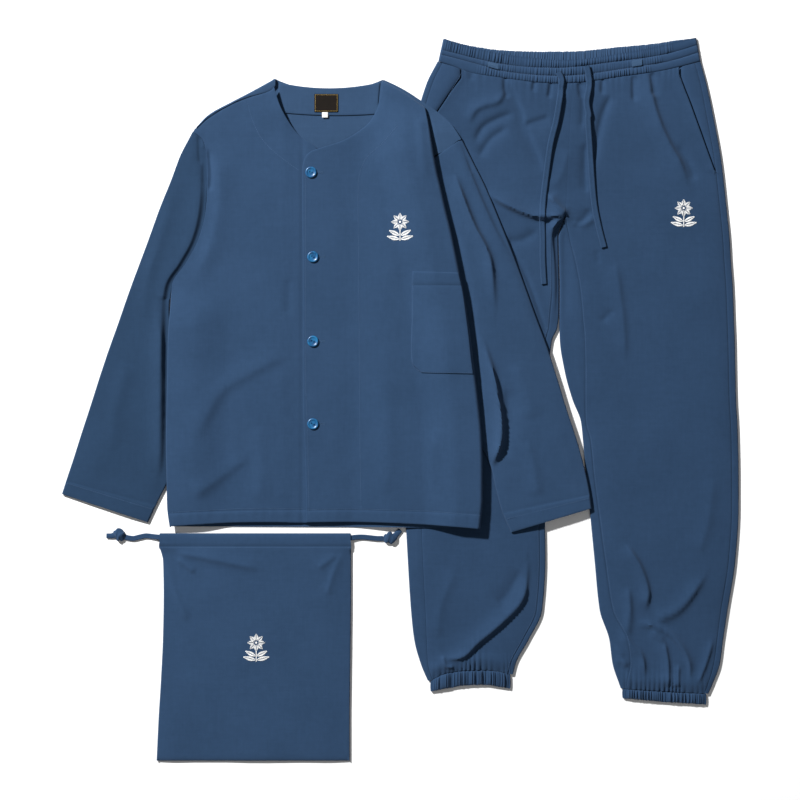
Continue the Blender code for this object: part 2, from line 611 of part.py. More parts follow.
def shirt_back(name, columns=13):
    """Back of the shirt, wrapped over the right shoulder to the seam on the front."""
    radius = BODY_MID / 2
    pairs = []

    def at(row, k):
        t = k / columns
        x, y = mix(row.right_x, row.left_x, t), mix(row.right_y, row.left_y, t)
        chord = mix(BACK_TOP[0].outline, BACK_TOP[-1].outline, t)
        return x, y + (curve_at(BACK_TOP, "x", "outline", x) - chord) * row.fade

    head = BACK[0]
    seam, brow, crest, base = [], [], [], []
    for k in range(columns + 1):
        x, y = at(head, k)
        turned = y - curve_at(BACK_TOP, "x", "seam", x) > 4.0 and x < -190.0
        low = back_base(x, y)
        if turned:
            bottom = curve_at(BACK_TOP, "x", "seam", x) + SEAM
            seam.append(top_pair((x, bottom), front_top(x, bottom)))
            brow.append(top_pair((x, y - radius), low + 2 * radius))
            crest.append(((x, y, low + radius), (x, y - CLOTH, low + radius)))
            base.append(low_pair((x, y - radius), low))
        else:
            for rows, back_off in ((seam, 0.0), (brow, 0.8), (crest, 1.6), (base, radius)):
                rows.append(low_pair((x, y - back_off), back_base(x, y - back_off)))
    pairs = [seam, brow, crest, base]
    for row in BACK[1:]:
        pairs.append([])
        for k in range(columns + 1):
            x, y = at(row, k)
            pairs[-1].append(low_pair((x, y), back_base(x, y)))
    return walled(name, pairs)


def patch(name, table, columns, height_at, wall=CLOTH, drop=0.0):
    """A piece that lies on a panel: that panel's points, moved out."""
    pairs = []
    for k, row in enumerate(table):
        pairs.append([])
        for t in spread(0.0, 1.0, columns + 1):
            x, y = mix(row.left_x, row.right_x, t), mix(row.left_y, row.right_y, t)
            if k == 0:
                y -= drop * 4.0 * t * (1.0 - t)
            z = height_at(x, y) + LAY
            pairs[-1].append(((x, y, z + wall), (x, y, z)))
    return walled(name, pairs)


def button(name, place):
    """Two-hole button: a turned disc with a rim and a dished middle."""
    profile = ((0.0, 1.9), (5.2, 1.9), (6.4, 3.1), (7.6, BUTTON_THICK), (BUTTON_RADIUS, 2.2), (8.2, 0.3),
               (6.0, 0.0), (0.0, 0.0))
    mesh = bpy.data.meshes.new(name)
    points = [(x * MM, 0.0, z * MM) for x, z in profile]
    mesh.from_pydata(points, [(i, i + 1) for i in range(len(points) - 1)], [])
    made = bpy.data.objects.new(name, mesh)
    made.data.materials.append(material("blue_plastic", (0.02, 0.16, 0.42, 1.0), 0.2))
    made.location = (place.x * MM, place.y * MM,
                     (front_top(place.x, place.y) + over_placket(place.x, place.y) + SEAM) * MM)
    SET.objects.link(made)
    turn = made.modifiers.new("turn", "SCREW")
    turn.steps = turn.render_steps = 16
    turn.use_merge_vertices = True
    turn.merge_threshold = 0.00005
    turn.use_smooth_shade = False
    for side in (-1, 1):
        bpy.ops.mesh.primitive_cylinder_add(vertices=6, radius=BUTTON_HOLE * MM, depth=12 * MM)
        cutter = bpy.context.object
        cutter.name = f"{name}_hole_{'a' if side < 0 else 'b'}"
        reach = BUTTON_HOLE_SPACING / 2 * side
        cutter.location = (made.location[0] + reach * MM * math.cos(0.5),
                           made.location[1] - reach * MM * math.sin(0.5), made.location[2])
        cutter.hide_render = True
        cutter.display_type = "WIRE"
        for holder in list(cutter.users_collection):
            holder.objects.unlink(cutter)
        CUTTERS.objects.link(cutter)
        cut = made.modifiers.new(f"hole_{side}", "BOOLEAN")
        cut.operation = "DIFFERENCE"
        cut.object = cutter
    return made


def label(name, left, right, low, high, wall, colour, finish_name):
    """Small woven label, sewn on the neck facing."""
    base = back_base(left, low) + CLOTH + LAY + CLOTH + SEAM
    bpy.ops.mesh.primitive_cube_add(size=1.0)
    made = bpy.context.object
    made.name = name
    made.data.name = name
    for vert in made.data.vertices:
        vert.co = ((left if vert.co.x < 0 else right) * MM, (low if vert.co.y < 0 else high) * MM,
                   (base + (0.0 if vert.co.z < 0 else wall)) * MM)
    made.data.materials.append(material(finish_name, colour, 0.7))
    for holder in list(made.users_collection):
        holder.objects.unlink(made)
    SET.objects.link(made)
    return made


# Pouch

def pouch_edges(y):
    """The x of the pouch's two sides at a height."""
    return curve_at(POUCH, "y", "left", y), curve_at(POUCH, "y", "right", y)


def pouch_top(x, y):
    """Height of the pouch's upper face."""
    left, right = pouch_edges(y)
    share = min(rise(x - left, POUCH_EDGE), rise(right - x, POUCH_EDGE))
    height = mix(POUCH_EDGE, POUCH_MID, share)
    return mix(height, CASING_TOP, step((y - CASING_SEAM + 14.0) / 18.0))


def pouch_front(name):
    """Front of the pouch: its casing open at both ends, its sides folded down below that."""
    radius = POUCH_EDGE / 2
    pairs = []
    for row in POUCH:
        folded = row.y < CASING_SEAM - 5
        pair_row = []
        if folded:
            pair_row.append(low_pair((row.left + radius, row.y), 0.0))
            pair_row.append(fold_pair((row.left, row.y), (row.right, row.y), radius, 0.0, 0.0))
        else:
            pair_row += [top_pair((row.left + inset, row.y), CASING_TOP) for inset in (0.0, 0.8)]
        for x in spread(row.left + radius, row.right - radius, 8):
            pair_row.append(top_pair((x, row.y), pouch_top(x, row.y)))
        if folded:
            pair_row.append(fold_pair((row.right, row.y), (row.left, row.y), radius, 0.0, 0.0))
            pair_row.append(low_pair((row.right - radius, row.y), 0.0))
        else:
            pair_row += [top_pair((row.right - inset, row.y), CASING_TOP) for inset in (0.8, 0.0)]
        pairs.append(pair_row)
    return walled(name, pairs)


def pouch_back(name):
    """Back of the pouch, flat on the surface."""
    pairs = []
    for row in POUCH:
        inset = 0.3 if row.y >= CASING_SEAM - 5 else POUCH_EDGE / 2 + 0.5
        pairs.append([low_pair((x, row.y), 0.0) for x in spread(row.left + inset, row.right - inset, 6)])
    return walled(name, pairs)


# Cords

def smooth_route(points, per_span):
    """Points on one smooth curve through a cord's route."""
    route = []
    for i in range(len(points) - 1):
        around = [points[max(0, i - 1)], points[i], points[i + 1], points[min(len(points) - 1, i + 2)]]
        for k in range(per_span):
            t = k / per_span
            route.append(tuple(
                0.5 * (2 * b + (c - a) * t + (2 * a - 5 * b + 4 * c - d) * t ** 2
                       + (3 * b - a - 3 * c + d) * t ** 3)
                for a, b, c, d in zip(*around)))
    route.append(tuple(points[-1]))
    return route


def flat_cord(name, points, width, thick, z_at):
    """Flat cord along a route: an oval section swept along a smooth curve."""
    route = [(x, y, z_at(x, y)) for x, y in smooth_route(points, 2)]
    rings = []
    for i, (x, y, z) in enumerate(route):
        before, after = route[max(0, i - 1)], route[min(len(route) - 1, i + 1)]
        length = math.hypot(after[0] - before[0], after[1] - before[1])
        across = (-(after[1] - before[1]) / length, (after[0] - before[0]) / length)
        ring = []
        for side, up in ((-0.5, 0.0), (-0.36, 0.5), (0.36, 0.5), (0.5, 0.0), (0.36, -0.5), (-0.36, -0.5)):
            ring.append((x + across[0] * width * side, y + across[1] * width * side, z + thick * up))
        rings.append(ring)
    return tube(name, rings, "cotton_cord")


def tube(name, rings, finish_name):
    """Join closed rings of points into one capped solid."""
    shape = bmesh.new()
    verts = [[shape.verts.new([c * MM for c in point]) for point in ring] for ring in rings]
    count = len(rings[0])
    for a, b in zip(verts, verts[1:]):
        for k in range(count):
            shape.faces.new((a[k], b[k], b[(k + 1) % count], a[(k + 1) % count]))
    shape.faces.new(verts[0])
    shape.faces.new(verts[-1])
    bmesh.ops.triangulate(shape, faces=shape.faces)
    return finish(name, shape, NAVY, finish_name)


def knot(name, table):
    """Knot and the short free end beyond it, resting on the surface."""
    rings = []
    for i, row in enumerate(table):
        before, after = table[max(0, i - 1)], table[min(len(table) - 1, i + 1)]
        length = math.hypot(after.x - before.x, after.y - before.y)
        across = (-(after.y - before.y) / length, (after.x - before.x) / length)
        ring = []
        for k in range(10):
            angle = 2 * math.pi * k / 10
            side = row.across * math.cos(angle)
            ring.append((row.x + across[0] * side, row.y + across[1] * side,
                         0.3 + row.rise / 2 * (1 + math.sin(angle))))
        rings.append(ring)
    return tube(name, rings, "cotton_cord")


def drawcord_height(x, y):
    """Height of the middle of a drawcord that lies on the waistband and the trousers' front."""
    on_band = step((y - curve_at(WAIST, "x", "seam", x) + 14.0) / 12.0)
    lie = mix(trousers_top(x, y), 5.5 + GATHER_DEPTH, on_band)
    return lie + DRAWCORD_LAY + DRAWCORD_THICK / 2


def pouch_cord_height(x, y):
    """Height of the middle of a pouch cord: inside the casing, then down to the surface."""
    left, right = POUCH[0].left, POUCH[0].right
    outside = max(left - x, x - right)
    return mix(CLOTH + 0.3 + 1.0, 1.3, step(outside / 18.0))


def build():
    """Make every piece of the set."""
    leg_front("trousers_front_left", LEFT_LEG)
    leg_front("trousers_front_right", RIGHT_LEG)
    leg_back("trousers_back_left", LEFT_LEG)
    leg_back("trousers_back_right", RIGHT_LEG)
    pocket_side("pocket_side_left", LEFT_LEG)
    pocket_side("pocket_side_right", RIGHT_LEG)
    waistband_front("waistband_front")
    waistband_back("waistband_back")
    cuff("trousers_cuff_left", LEFT_CUFF, 346.0, 475.0)
    cuff("trousers_cuff_right", RIGHT_CUFF, 48.0, 171.0)
    flat_cord("drawcord_left", LEFT_DRAWCORD, DRAWCORD_WIDTH, DRAWCORD_THICK, drawcord_height)
    flat_cord("drawcord_right", RIGHT_DRAWCORD, DRAWCORD_WIDTH, DRAWCORD_THICK, drawcord_height)

    sleeve("shirt_sleeve_left", LEFT_SLEEVE, plateau)
    sleeve("shirt_sleeve_right", RIGHT_SLEEVE, lambda x, y: 0.0)
    shirt_back("shirt_back")
    shirt_front("shirt_front_left", LEFT_FRONT, 11, over_placket, 460.0,
                lambda y: mix(1.7, 4.0, step((454.0 - y) / 80.0)))
    shirt_front("shirt_front_right", RIGHT_FRONT, 10, under_placket, 170.0, lambda y: BODY_EDGE / 2)
    patch("chest_pocket", CHEST_POCKET, 6, front_top)
    patch("neck_facing", NECK_FACING, 8, lambda x, y: back_base(x, y) + CLOTH, drop=5.0)
    for number, place in enumerate(BUTTONS, start=1):
        button(f"button_{number}", place)
    label("neck_label", -133.0, -96.0, 447.0, 475.0, 1.0, (0.01, 0.009, 0.008, 1.0), "black_label")
    label("size_tab", -121.0, -112.0, 438.5, 446.6, 0.8, (0.8, 0.8, 0.78, 1.0), "white_label")

    pouch_front("pouch_front")
    pouch_back("pouch_back")
    flat_cord("pouch_cord_left", LEFT_POUCH_CORD, POUCH_CORD_WIDTH, 2.0, pouch_cord_height)
    flat_cord("pouch_cord_right", RIGHT_POUCH_CORD, POUCH_CORD_WIDTH, 2.0, pouch_cord_height)
    knot("pouch_knot_left", LEFT_KNOT)
    knot("pouch_knot_right", RIGHT_KNOT)


for old in list(bpy.data.objects):
    bpy.data.objects.remove(old)
SET = bpy.data.collections.new("pyjama_set")
CUTTERS = bpy.data.collections.new("cutters")
bpy.context.scene.collection.children.link(SET)
bpy.context.scene.collection.children.link(CUTTERS)
build()
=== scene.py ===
"""Looks of a pyjama set laid flat: brushed navy cotton shirt, trousers and pouch on a pale floor.

Tables are in millimetres: x runs across the set, y up it and z up from the floor. Left and
right are the wearer's, so left is at +x. Meshes are made in metres.
"""
import logging
import math
from dataclasses import dataclass, field
from enum import Enum
from typing import Callable, Sequence

import bmesh
import bpy
import numpy as np
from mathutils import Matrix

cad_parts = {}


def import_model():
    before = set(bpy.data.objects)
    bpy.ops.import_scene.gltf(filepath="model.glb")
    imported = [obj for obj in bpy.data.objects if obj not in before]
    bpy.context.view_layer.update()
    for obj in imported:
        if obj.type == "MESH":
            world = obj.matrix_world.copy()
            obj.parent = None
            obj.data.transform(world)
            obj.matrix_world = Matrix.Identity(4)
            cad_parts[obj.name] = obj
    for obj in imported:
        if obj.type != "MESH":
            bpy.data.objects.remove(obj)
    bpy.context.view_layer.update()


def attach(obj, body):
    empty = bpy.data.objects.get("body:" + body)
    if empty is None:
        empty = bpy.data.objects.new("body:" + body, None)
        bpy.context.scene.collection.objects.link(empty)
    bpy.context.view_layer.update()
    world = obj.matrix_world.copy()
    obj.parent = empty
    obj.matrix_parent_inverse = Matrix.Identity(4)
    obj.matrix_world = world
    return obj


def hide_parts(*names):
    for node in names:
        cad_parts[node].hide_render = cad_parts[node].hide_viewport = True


LOG = logging.getLogger("pyjama_set")
MM = 0.001             # metres in a millimetre
PITCH = 2.86           # spacing of the cloth's grid
WALL = 1.0             # wall of a cloth shell
SEAM = 0.3             # gap between two pieces at a seam
LOWEST = 2.6           # height that an upper face doesn't fall below
Array = np.ndarray
Height = Callable[[Array, Array], Array]


class Slot(Enum):
    """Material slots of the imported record."""

    COTTON = "cotton"
    CORD = "cord"
    BUTTON = "button"
    LABEL_BLACK = "label_black"
    LABEL_WHITE = "label_white"


class Held(Enum):
    """How a sheet of cloth lies."""

    LAID = "laid"
    GATHERED = "gathered"


# Numbers and curves

def step(t: Array) -> Array:
    """Rise smoothly from 0 to 1 as t does."""
    t = np.clip(t, 0.0, 1.0)
    return t * t * (3.0 - 2.0 * t)


def mix(a: Array, b: Array, t: Array) -> Array:
    """Blend two numbers or arrays."""
    return a + (b - a) * t


class Curve:
    """Smooth curve through points that doesn't overshoot them."""

    def __init__(self, keys: Sequence[float], values: Sequence[float]) -> None:
        """Store the points, sorted by key, and their tangents.

        Args:
            keys: where the points are.
            values: their values.
        """
        order = np.argsort(np.asarray(keys, float))
        self.keys = np.asarray(keys, float)[order]
        self.values = np.asarray(values, float)[order]
        slopes = np.diff(self.values) / np.diff(self.keys)
        inner = np.zeros(len(slopes) - 1)
        same = slopes[:-1] * slopes[1:] > 0
        inner[same] = 2 * (slopes[:-1] * slopes[1:])[same] / (slopes[:-1] + slopes[1:])[same]
        self.tangents = np.concatenate([slopes[:1], inner, slopes[-1:]])

    def __call__(self, at: Array) -> Array:
        """Read the curve.

        Args:
            at: keys to read it at, held to its ends.

        Returns:
            The values there.
        """
        at = np.clip(np.asarray(at, float), self.keys[0], self.keys[-1])
        k = np.clip(np.searchsorted(self.keys, at, side="right") - 1, 0, len(self.keys) - 2)
        span = self.keys[k + 1] - self.keys[k]
        t = (at - self.keys[k]) / span
        return ((2 * t ** 3 - 3 * t ** 2 + 1) * self.values[k]
                + (t ** 3 - 2 * t ** 2 + t) * span * self.tangents[k]
                + (3 * t ** 2 - 2 * t ** 3) * self.values[k + 1]
                + (t ** 3 - t ** 2) * span * self.tangents[k + 1])


class Table:
    """Short table with named columns."""

    def __init__(self, names: str, *rows: Sequence[float]) -> None:
        """Store the rows.

        Args:
            names: the columns' names, with spaces between.
            rows: a tuple for each row.
        """
        self.names = names.split()
        self.rows = np.array(rows, float)

    def column(self, name: str) -> Array:
        """All values of a column."""
        return self.rows[:, self.names.index(name)]

    def curve(self, key: str, name: str) -> Curve:
        """Smooth curve of one column along another."""
        return Curve(self.column(key), self.column(name))

    def by_row(self, name: str) -> Curve:
        """Smooth curve of a column along the row numbers."""
        return Curve(np.arange(len(self.rows)), self.column(name))


LEFT_LEG = Table(
    "y outer outseam inseam inner",
    (525, 467, 457, 267, 267), (491, 476, 466, 267, 267), (434, 488, 477, 264, 264),
    (372, 499, 488, 261, 261), (291, 508, 497, 257, 257), (251, 512, 501, 263, 246),
    (217, 514, 503, 271, 247), (174, 517, 506, 279, 248), (120, 519, 508, 284, 247.5),
    (95, 520, 509, 286, 248),
    (43, 521, 510, 287, 256), (0, 522, 511, 287, 268), (-34, 524, 513, 288, 281),
    (-62, 525, 514, 295, 284), (-119, 526, 515, 301, 289), (-166, 526, 515, 307, 294),
    (-248, 521, 510, 318, 302), (-326, 509, 498, 330, 310), (-372, 502, 492, 352, 325),
    (-409, 497, 487, 357, 330), (-440, 486, 478, 352, 340), (-456, 479, 472, 354, 346))
RIGHT_LEG = Table(
    "y outer outseam inseam inner",
    (525, 58, 66, 267, 267), (491, 41, 50, 267, 267), (434, 25, 34, 264, 264),
    (372, 16, 26, 261, 261), (291, 10, 22, 257, 257), (251, 9, 22, 236, 245.4),
    (217, 8, 22, 236, 246), (174, 6, 22, 236, 247), (135, 5, 22, 233, 246.8), (112, 5, 22, 231, 244.5),
    (92, 4, 22, 226, 236),
    (30, 4, 24, 222, 230), (-28, 4, 26, 219, 227), (-119, 7, 30, 217, 226),
    (-166, 8, 32, 216, 225), (-248, 12, 35, 217, 226), (-326, 17, 39, 212, 221),
    (-372, 22, 41, 191, 200), (-409, 32, 43, 172, 180), (-440, 45, 52, 165, 173))
CENTRE_SEAM = Table("y x", (525, 267), (491, 267), (434, 264), (372, 261), (291, 257))
WAIST = Table(
    "x back_top front_top channel lower seam",
    (58, 561, 560.5, 543.5, 536.5, 525), (85, 555.5, 553, 537.5, 530, 517),
    (101, 551.5, 548.5, 533.5, 526, 510.5),
    (124, 547.5, 543.5, 528, 520, 505), (155, 543.5, 537.5, 522, 511.5, 500.5),
    (186, 541.8, 532.5, 517.8, 506.8, 496),
    (217, 541.2, 529.5, 516, 504, 492.3), (248, 541.2, 527.5, 515.6, 503, 491.2),
    (279, 542, 528.5, 518, 504.5, 492.3),
    (310, 545, 532, 522, 508.3, 496.5), (341, 548.5, 537, 526, 513, 501.5),
    (372, 551, 542, 529.8, 517.8, 505.5),
    (403, 554.5, 548, 534.5, 522.5, 510.3), (434, 559, 555, 541.5, 529.5, 517),
    (467, 562.5, 561.5, 551, 539.5, 525.5))
LEFT_CUFF = Table("x top bottom", (345, -448, -463), (378, -450, -466), (412, -452, -469),
                  (446, -454, -471), (476, -456, -473))
RIGHT_CUFF = Table("x top bottom", (46, -436, -453), (72, -424, -448), (98, -420, -443.5),
                   (130, -419, -442), (152, -421, -445), (172, -426, -448))
SLANT = Table("y left right", (511, 433, 95), (467, 449, 70), (440, 458, 55), (400, 472, 41), (353, 489, 30))
LEFT_FRONT = Table(
    "inner_x inner_y outer_x outer_y bow",
    (-28, 496, 39, 453, 2), (-33, 462, 45, 424, 3), (-44, 436, 49, 400, 2), (-64, 417, 53, 376, 1),
    (-92, 401, 56, 360, 0), (-120, 392, 59, 346, 0), (-139, 385, 63, 330, 0), (-149, 373, 67, 312, 0),
    (-152, 353, 72, 290, 0), (-152, 320, 79, 262, 0), (-152, 280, 86, 228, 0), (-151, 235, 94, 188, 0),
    (-151, 185, 102, 145, 0), (-151, 130, 109, 98, 0), (-151, 70, 115, 50, 0), (-151, 10, 121, 0, 0),
    (-149, -50, 126, -50, 0), (-147, -100, 128, -100, 0), (-146, -148, 128, -150, 1),
    (-146, -190, 124, -199, 4))
RIGHT_FRONT = Table(
    "inner_x inner_y outer_x outer_y bow",
    (-195, 480, -320, 416.5, 11.5), (-188, 458, -305.6, 402.5, 8), (-176, 435, -301, 385, 4),
    (-155, 409, -300, 365, 1.5), (-131, 393, -299.5, 340, 0), (-121, 370, -300, 314, 0),
    (-121, 335, -302.5, 287, 0), (-121, 290, -313.5, 248, 0), (-121, 245, -331.5, 214, 0),
    (-121, 195, -354, 178, 0), (-121, 150, -357, 138, 0), (-121, 100, -360, 96, 0),
    (-121, 45, -361, 45, 0), (-121, -10, -362, -10, 0), (-121, -65, -363, -65, 0),
    (-121, -120, -362, -120, 0), (-121, -160, -361, -165, 1), (-121, -191, -357, -197, 4))
BACK = Table(
    "right_x right_y left_x left_y fade",
    (-321, 418, 94, 405.5, 1.0), (-304, 398, 71, 387, 0.72), (-300.5, 376, 46, 372, 0.48),
    (-299.5, 340, 46, 345, 0.24), (-302, 288, 60, 306, 0.06), (-313, 247, 70, 265, 0),
    (-331, 213, 79, 228, 0), (-353, 177, 88, 182, 0), (-353, 135, 96, 138, 0), (-356, 85, 103, 90, 0),
    (-358, 25, 112, 30, 0), (-359, -35, 118, -30, 0), (-359, -95, 122, -90, 0),
    (-357, -150, 122, -150, 0), (-354, -196, 119, -198, 0))
BACK_TOP = Table(
    "x outline seam",
    (-323, 417, 417), (-297, 444, 437), (-263, 463, 458), (-234, 478, 470), (-200, 496.6, 481),
    (-194, 500, 487), (-187, 496.8, 496.8), (-163, 489, 489), (-124, 484, 484), (-80, 485, 485),
    (-48, 491, 491), (-33, 496, 496), (-26.5, 498.4, 498.4),
    (-19, 495.5, 495.5), (7, 482, 482), (36, 463, 463), (58, 448, 448), (78, 430, 430), (95, 405, 405))
RIGHT_SLEEVE = Table(
    "outer_x outer_y inner_x inner_y closed",
    (-322.6, 415.6, -320.6, 416.4, 0), (-330, 401.5, -305.8, 402.3, 0), (-341, 380, -301.2, 384, 0),
    (-356, 340, -299.7, 340, 0),
    (-373, 298, -302.7, 287.5, 0), (-391, 248, -313.7, 248, 0), (-404, 213, -331.7, 214, 0),
    (-416, 181, -354.2, 178, 0), (-427, 150, -358, 138, 1), (-438, 118, -352, 100, 1),
    (-453, 76, -340, 50, 1), (-467, 34, -334, 0, 1), (-480, -7, -336, -45, 1),
    (-495, -53, -345, -92, 1), (-508, -94, -361, -128, 1), (-517, -121, -376, -158, 1),
    (-525, -146, -391, -190, 1))
LEFT_SLEEVE = Table(
    "outer_x outer_y inner_x inner_y closed",
    (95.3, 404.6, 47, 371.2, 1), (112, 371, 54, 342, 1), (132, 331, 58, 305, 1), (153, 281, 61, 258, 1),
    (173, 231, 67, 205, 1), (192, 180, 75, 148, 1), (210, 130, 83, 98, 1), (228, 82, 90, 50, 1),
    (244, 33, 99, 2, 1), (258, -13, 113, -42, 1), (271, -52, 128, -76, 1), (281, -86, 141, -104, 1),
    (289, -119, 148, -135, 1), (294, -145, 158, -172, 1), (297, -168, 172, -205, 1))
POUCH = Table(
    "y left right",
    (-207, -373, -77), (-217, -373, -76.5), (-227, -374, -76), (-236, -371, -76), (-250, -368, -76),
    (-301, -367, -76), (-364, -368, -76.5), (-430, -371, -77.3), (-496, -375, -78), (-560, -378, -78))


# Folds

@dataclass(frozen=True)
class Stroke:
    """Soft ridge, or trough if its height is negative, along a short route."""

    route: tuple[tuple[float, float], ...]
    height: float
    left: float
    right: float
    crease: float = 1.35

    def at(self, x: Array, y: Array) -> Array:
        """Height that the stroke adds.

        Args:
            x: places across.
            y: places up.

        Returns:
            The height at each place, steeper on the side with the smaller width.
        """
        total = np.zeros(np.shape(x))
        reach = 3.0 * max(self.left, self.right)
        points = np.array(self.route, float)
        low, high = points.min(0) - reach, points.max(0) + reach
        near = (x > low[0]) & (x < high[0]) & (y > low[1]) & (y < high[1])
        if not near.any():
            return total
        px, py = x[near], y[near]
        t = np.linspace(0, len(points) - 1, 6 * (len(points) - 1) + 1)
        index = np.arange(len(points))
        fine = np.stack([smooth_line(index, points[:, k], t) for k in (0, 1)], 1)
        best = np.full(px.shape, 1e9)
        signed = np.zeros(px.shape)
        along = np.zeros(px.shape)
        for i, (a, b) in enumerate(zip(fine, fine[1:])):
            d = b - a
            length = math.hypot(*d)
            u = np.clip(((px - a[0]) * d[0] + (py - a[1]) * d[1]) / length ** 2, 0, 1)
            ex, ey = px - a[0] - d[0] * u, py - a[1] - d[1] * u
            away = np.hypot(ex, ey)
            closer = away < best
            best = np.where(closer, away, best)
            signed = np.where(closer, np.sign(d[0] * ey - d[1] * ex), signed)
            along = np.where(closer, (i + u) / (len(fine) - 1), along)
        width = np.where(signed > 0, self.left, self.right)
        taper = step(along / 0.22) * step((1 - along) / 0.22)
        total[near] = self.height * (0.1 + 0.9 * taper) * np.exp(-(best / width) ** self.crease)
        return total


def smooth_line(keys: Array, values: Array, at: Array) -> Array:
    """Catmull-Rom curve through evenly spaced points.

    Args:
        keys: the points' numbers.
        values: their values.
        at: where to read it.

    Returns:
        The values there.
    """
    k = np.clip(at.astype(int), 0, len(keys) - 2)
    t = at - k
    a, b = values[np.maximum(k - 1, 0)], values[k]
    c, d = values[k + 1], values[np.minimum(k + 2, len(keys) - 1)]
    return 0.5 * (2 * b + (c - a) * t + (2 * a - 5 * b + 4 * c - d) * t ** 2
                  + (3 * b - a - 3 * c + d) * t ** 3)


@dataclass
class Unevenness:
    """Gentle seeded unevenness of laid cloth."""

    seed: int
    size: float
    height: float
    grid: Array = field(init=False)

    def __post_init__(self) -> None:
        """Fill the lattice."""
        self.grid = np.random.default_rng(self.seed).uniform(-1, 1, (64, 64))

    def at(self, x: Array, y: Array) -> Array:
        """Height at each place.

        Args:
            x: places across.
            y: places up.

        Returns:
            The heights, smooth over the lattice's size.
        """
        u, v = x / self.size + 1000.0, y / self.size + 1000.0
        i, j = np.floor(u).astype(int), np.floor(v).astype(int)
        fu, fv = step(u - i), step(v - j)
        n = len(self.grid)
        g = self.grid
        low = mix(g[i % n, j % n], g[(i + 1) % n, j % n], fu)
        high = mix(g[i % n, (j + 1) % n], g[(i + 1) % n, (j + 1) % n], fu)
        return self.height * mix(low, high, fv)


TROUSER_STROKES = (
    Stroke(((390, 512), (392, 470), (403, 431), (420, 394), (434, 370), (448, 332)), 3.4, 3.0, 14),
    Stroke(((430, 396), (448, 368), (458, 340)), -1.8, 6, 5),
    Stroke(((162, 506), (162, 486), (166, 468)), -2.4, 7, 2.4),
    Stroke(((165, 496), (178, 472), (188, 446), (191, 426), (202, 405), (215, 374), (222, 352)),
           -3.0, 3.2, 14),
    Stroke(((192, 426), (212, 433), (232, 440)), -1.8, 3.2, 10),
    Stroke(((163, 482), (152, 463), (132, 457), (116, 448), (106, 428)), 2.0, 4, 10, 1.7),
    Stroke(((178, 446), (150, 436), (128, 422), (116, 398)), -2.6, 8, 5),
    Stroke(((168, 424), (140, 404), (122, 376)), -2.2, 7, 6),
    Stroke(((132, 323), (164, 302), (200, 286.5), (222, 283), (240, 284.5), (260, 288)), 6.0, 14, 2.6),
    Stroke(((230, 318), (238, 307), (248, 295), (260, 286)), 4.4, 7, 2.0),
    Stroke(((264, 281), (251, 280), (241, 273), (237, 262), (236.5, 245), (238.5, 225),
            (241, 195), (241, 160), (239, 128)), 5.8, 3.2, 8),
    Stroke(((258, 264), (254, 250), (254, 225), (254, 190), (254, 150), (254, 122)), -1.8, 8, 4),
    Stroke(((296, 296), (286, 280), (268, 268)), -2.6, 5, 6),
    Stroke(((300, 282), (284, 272), (266, 274)), 2.4, 4, 6),
    Stroke(((289, 400), (288, 360), (290, 320)), -3.0, 2.2, 8),
    Stroke(((214, 262), (188, 248), (166, 246)), -2.2, 9, 7),
    Stroke(((236, 330), (250, 350), (262, 390)), 1.2, 9, 9),
    Stroke(((314, 499), (313, 474)), -2.2, 5, 2.2), Stroke(((235, 494), (230, 468)), -2.4, 5, 2.4),
    Stroke(((112, 514), (110, 496)), -1.4, 3, 3), Stroke(((247, 494), (252, 470)), -1.6, 4, 4),
    Stroke(((328, 474), (316, 446), (306, 406), (298, 360)), -2.8, 6, 5),
    Stroke(((361, 504), (362, 462)), -2.4, 7, 2.2), Stroke(((389, 509), (392, 470)), -3.0, 7, 2.0),
    Stroke(((278, 492), (281, 470)), -2.6, 5, 2.0), Stroke(((208, 494), (206, 478)), -1.8, 4, 2.4),
    Stroke(((279, 498), (284, 456), (282, 420)), -1.8, 4, 5),
    Stroke(((334, 216), (346, 132), (350, 62)), 1.5, 4, 16),
    Stroke(((312, 121), (332, 140)), -1.2, 6, 6),
    Stroke(((305, 232), (308, 212)), -0.9, 5, 5),
    Stroke(((198, -250), (192, -306), (160, -344), (122, -376), (98, -398), (70, -402)), 4.6, 2.6, 15),
    Stroke(((188, -262), (168, -300), (150, -318)), -2.2, 14, 10),
    Stroke(((66, -396), (72, -412), (84, -414)), 2.2, 3, 4),
    Stroke(((349, -222), (372, -256), (385, -296), (380, -324)), 3.6, 2.8, 11),
    Stroke(((394, -342), (420, -334), (444, -314), (476, -268)), 3.4, 13, 4.2),
    Stroke(((366, -352), (388, -349), (415, -361), (436, -383), (448, -408), (450, -432)), 3.4, 5, 3),
    Stroke(((409, -372), (416, -408), (416, -446)), 3.0, 2.8, 9),
    Stroke(((392, -356), (409, -376)), 2.4, 4, 6),
    Stroke(((354, -290), (357, -330), (352, -366)), 2.6, 4, 9),
    Stroke(((342, -358), (362, -382), (376, -398), (380, -430)), 3.0, 3, 8),
    Stroke(((330, -408), (344, -404), (352, -414)), 2.6, 4, 4), Stroke(((334, -384), (346, -398)), 2.0, 3, 5),
    Stroke(((486, -372), (474, -410), (462, -440)), 2.2, 3, 7), Stroke(((432, -412), (430, -446)), 2.0, 3, 5),
    Stroke(((92, 421), (121, 342), (156, 265), (199, 186), (240, 62)), -2.2, 3.0, 3.0),
    Stroke(((88, -262), (64, -318), (58, -372)), 1.2, 9, 14),
    Stroke(((486, -120), (478, -190), (462, -240)), 1.2, 8, 16))
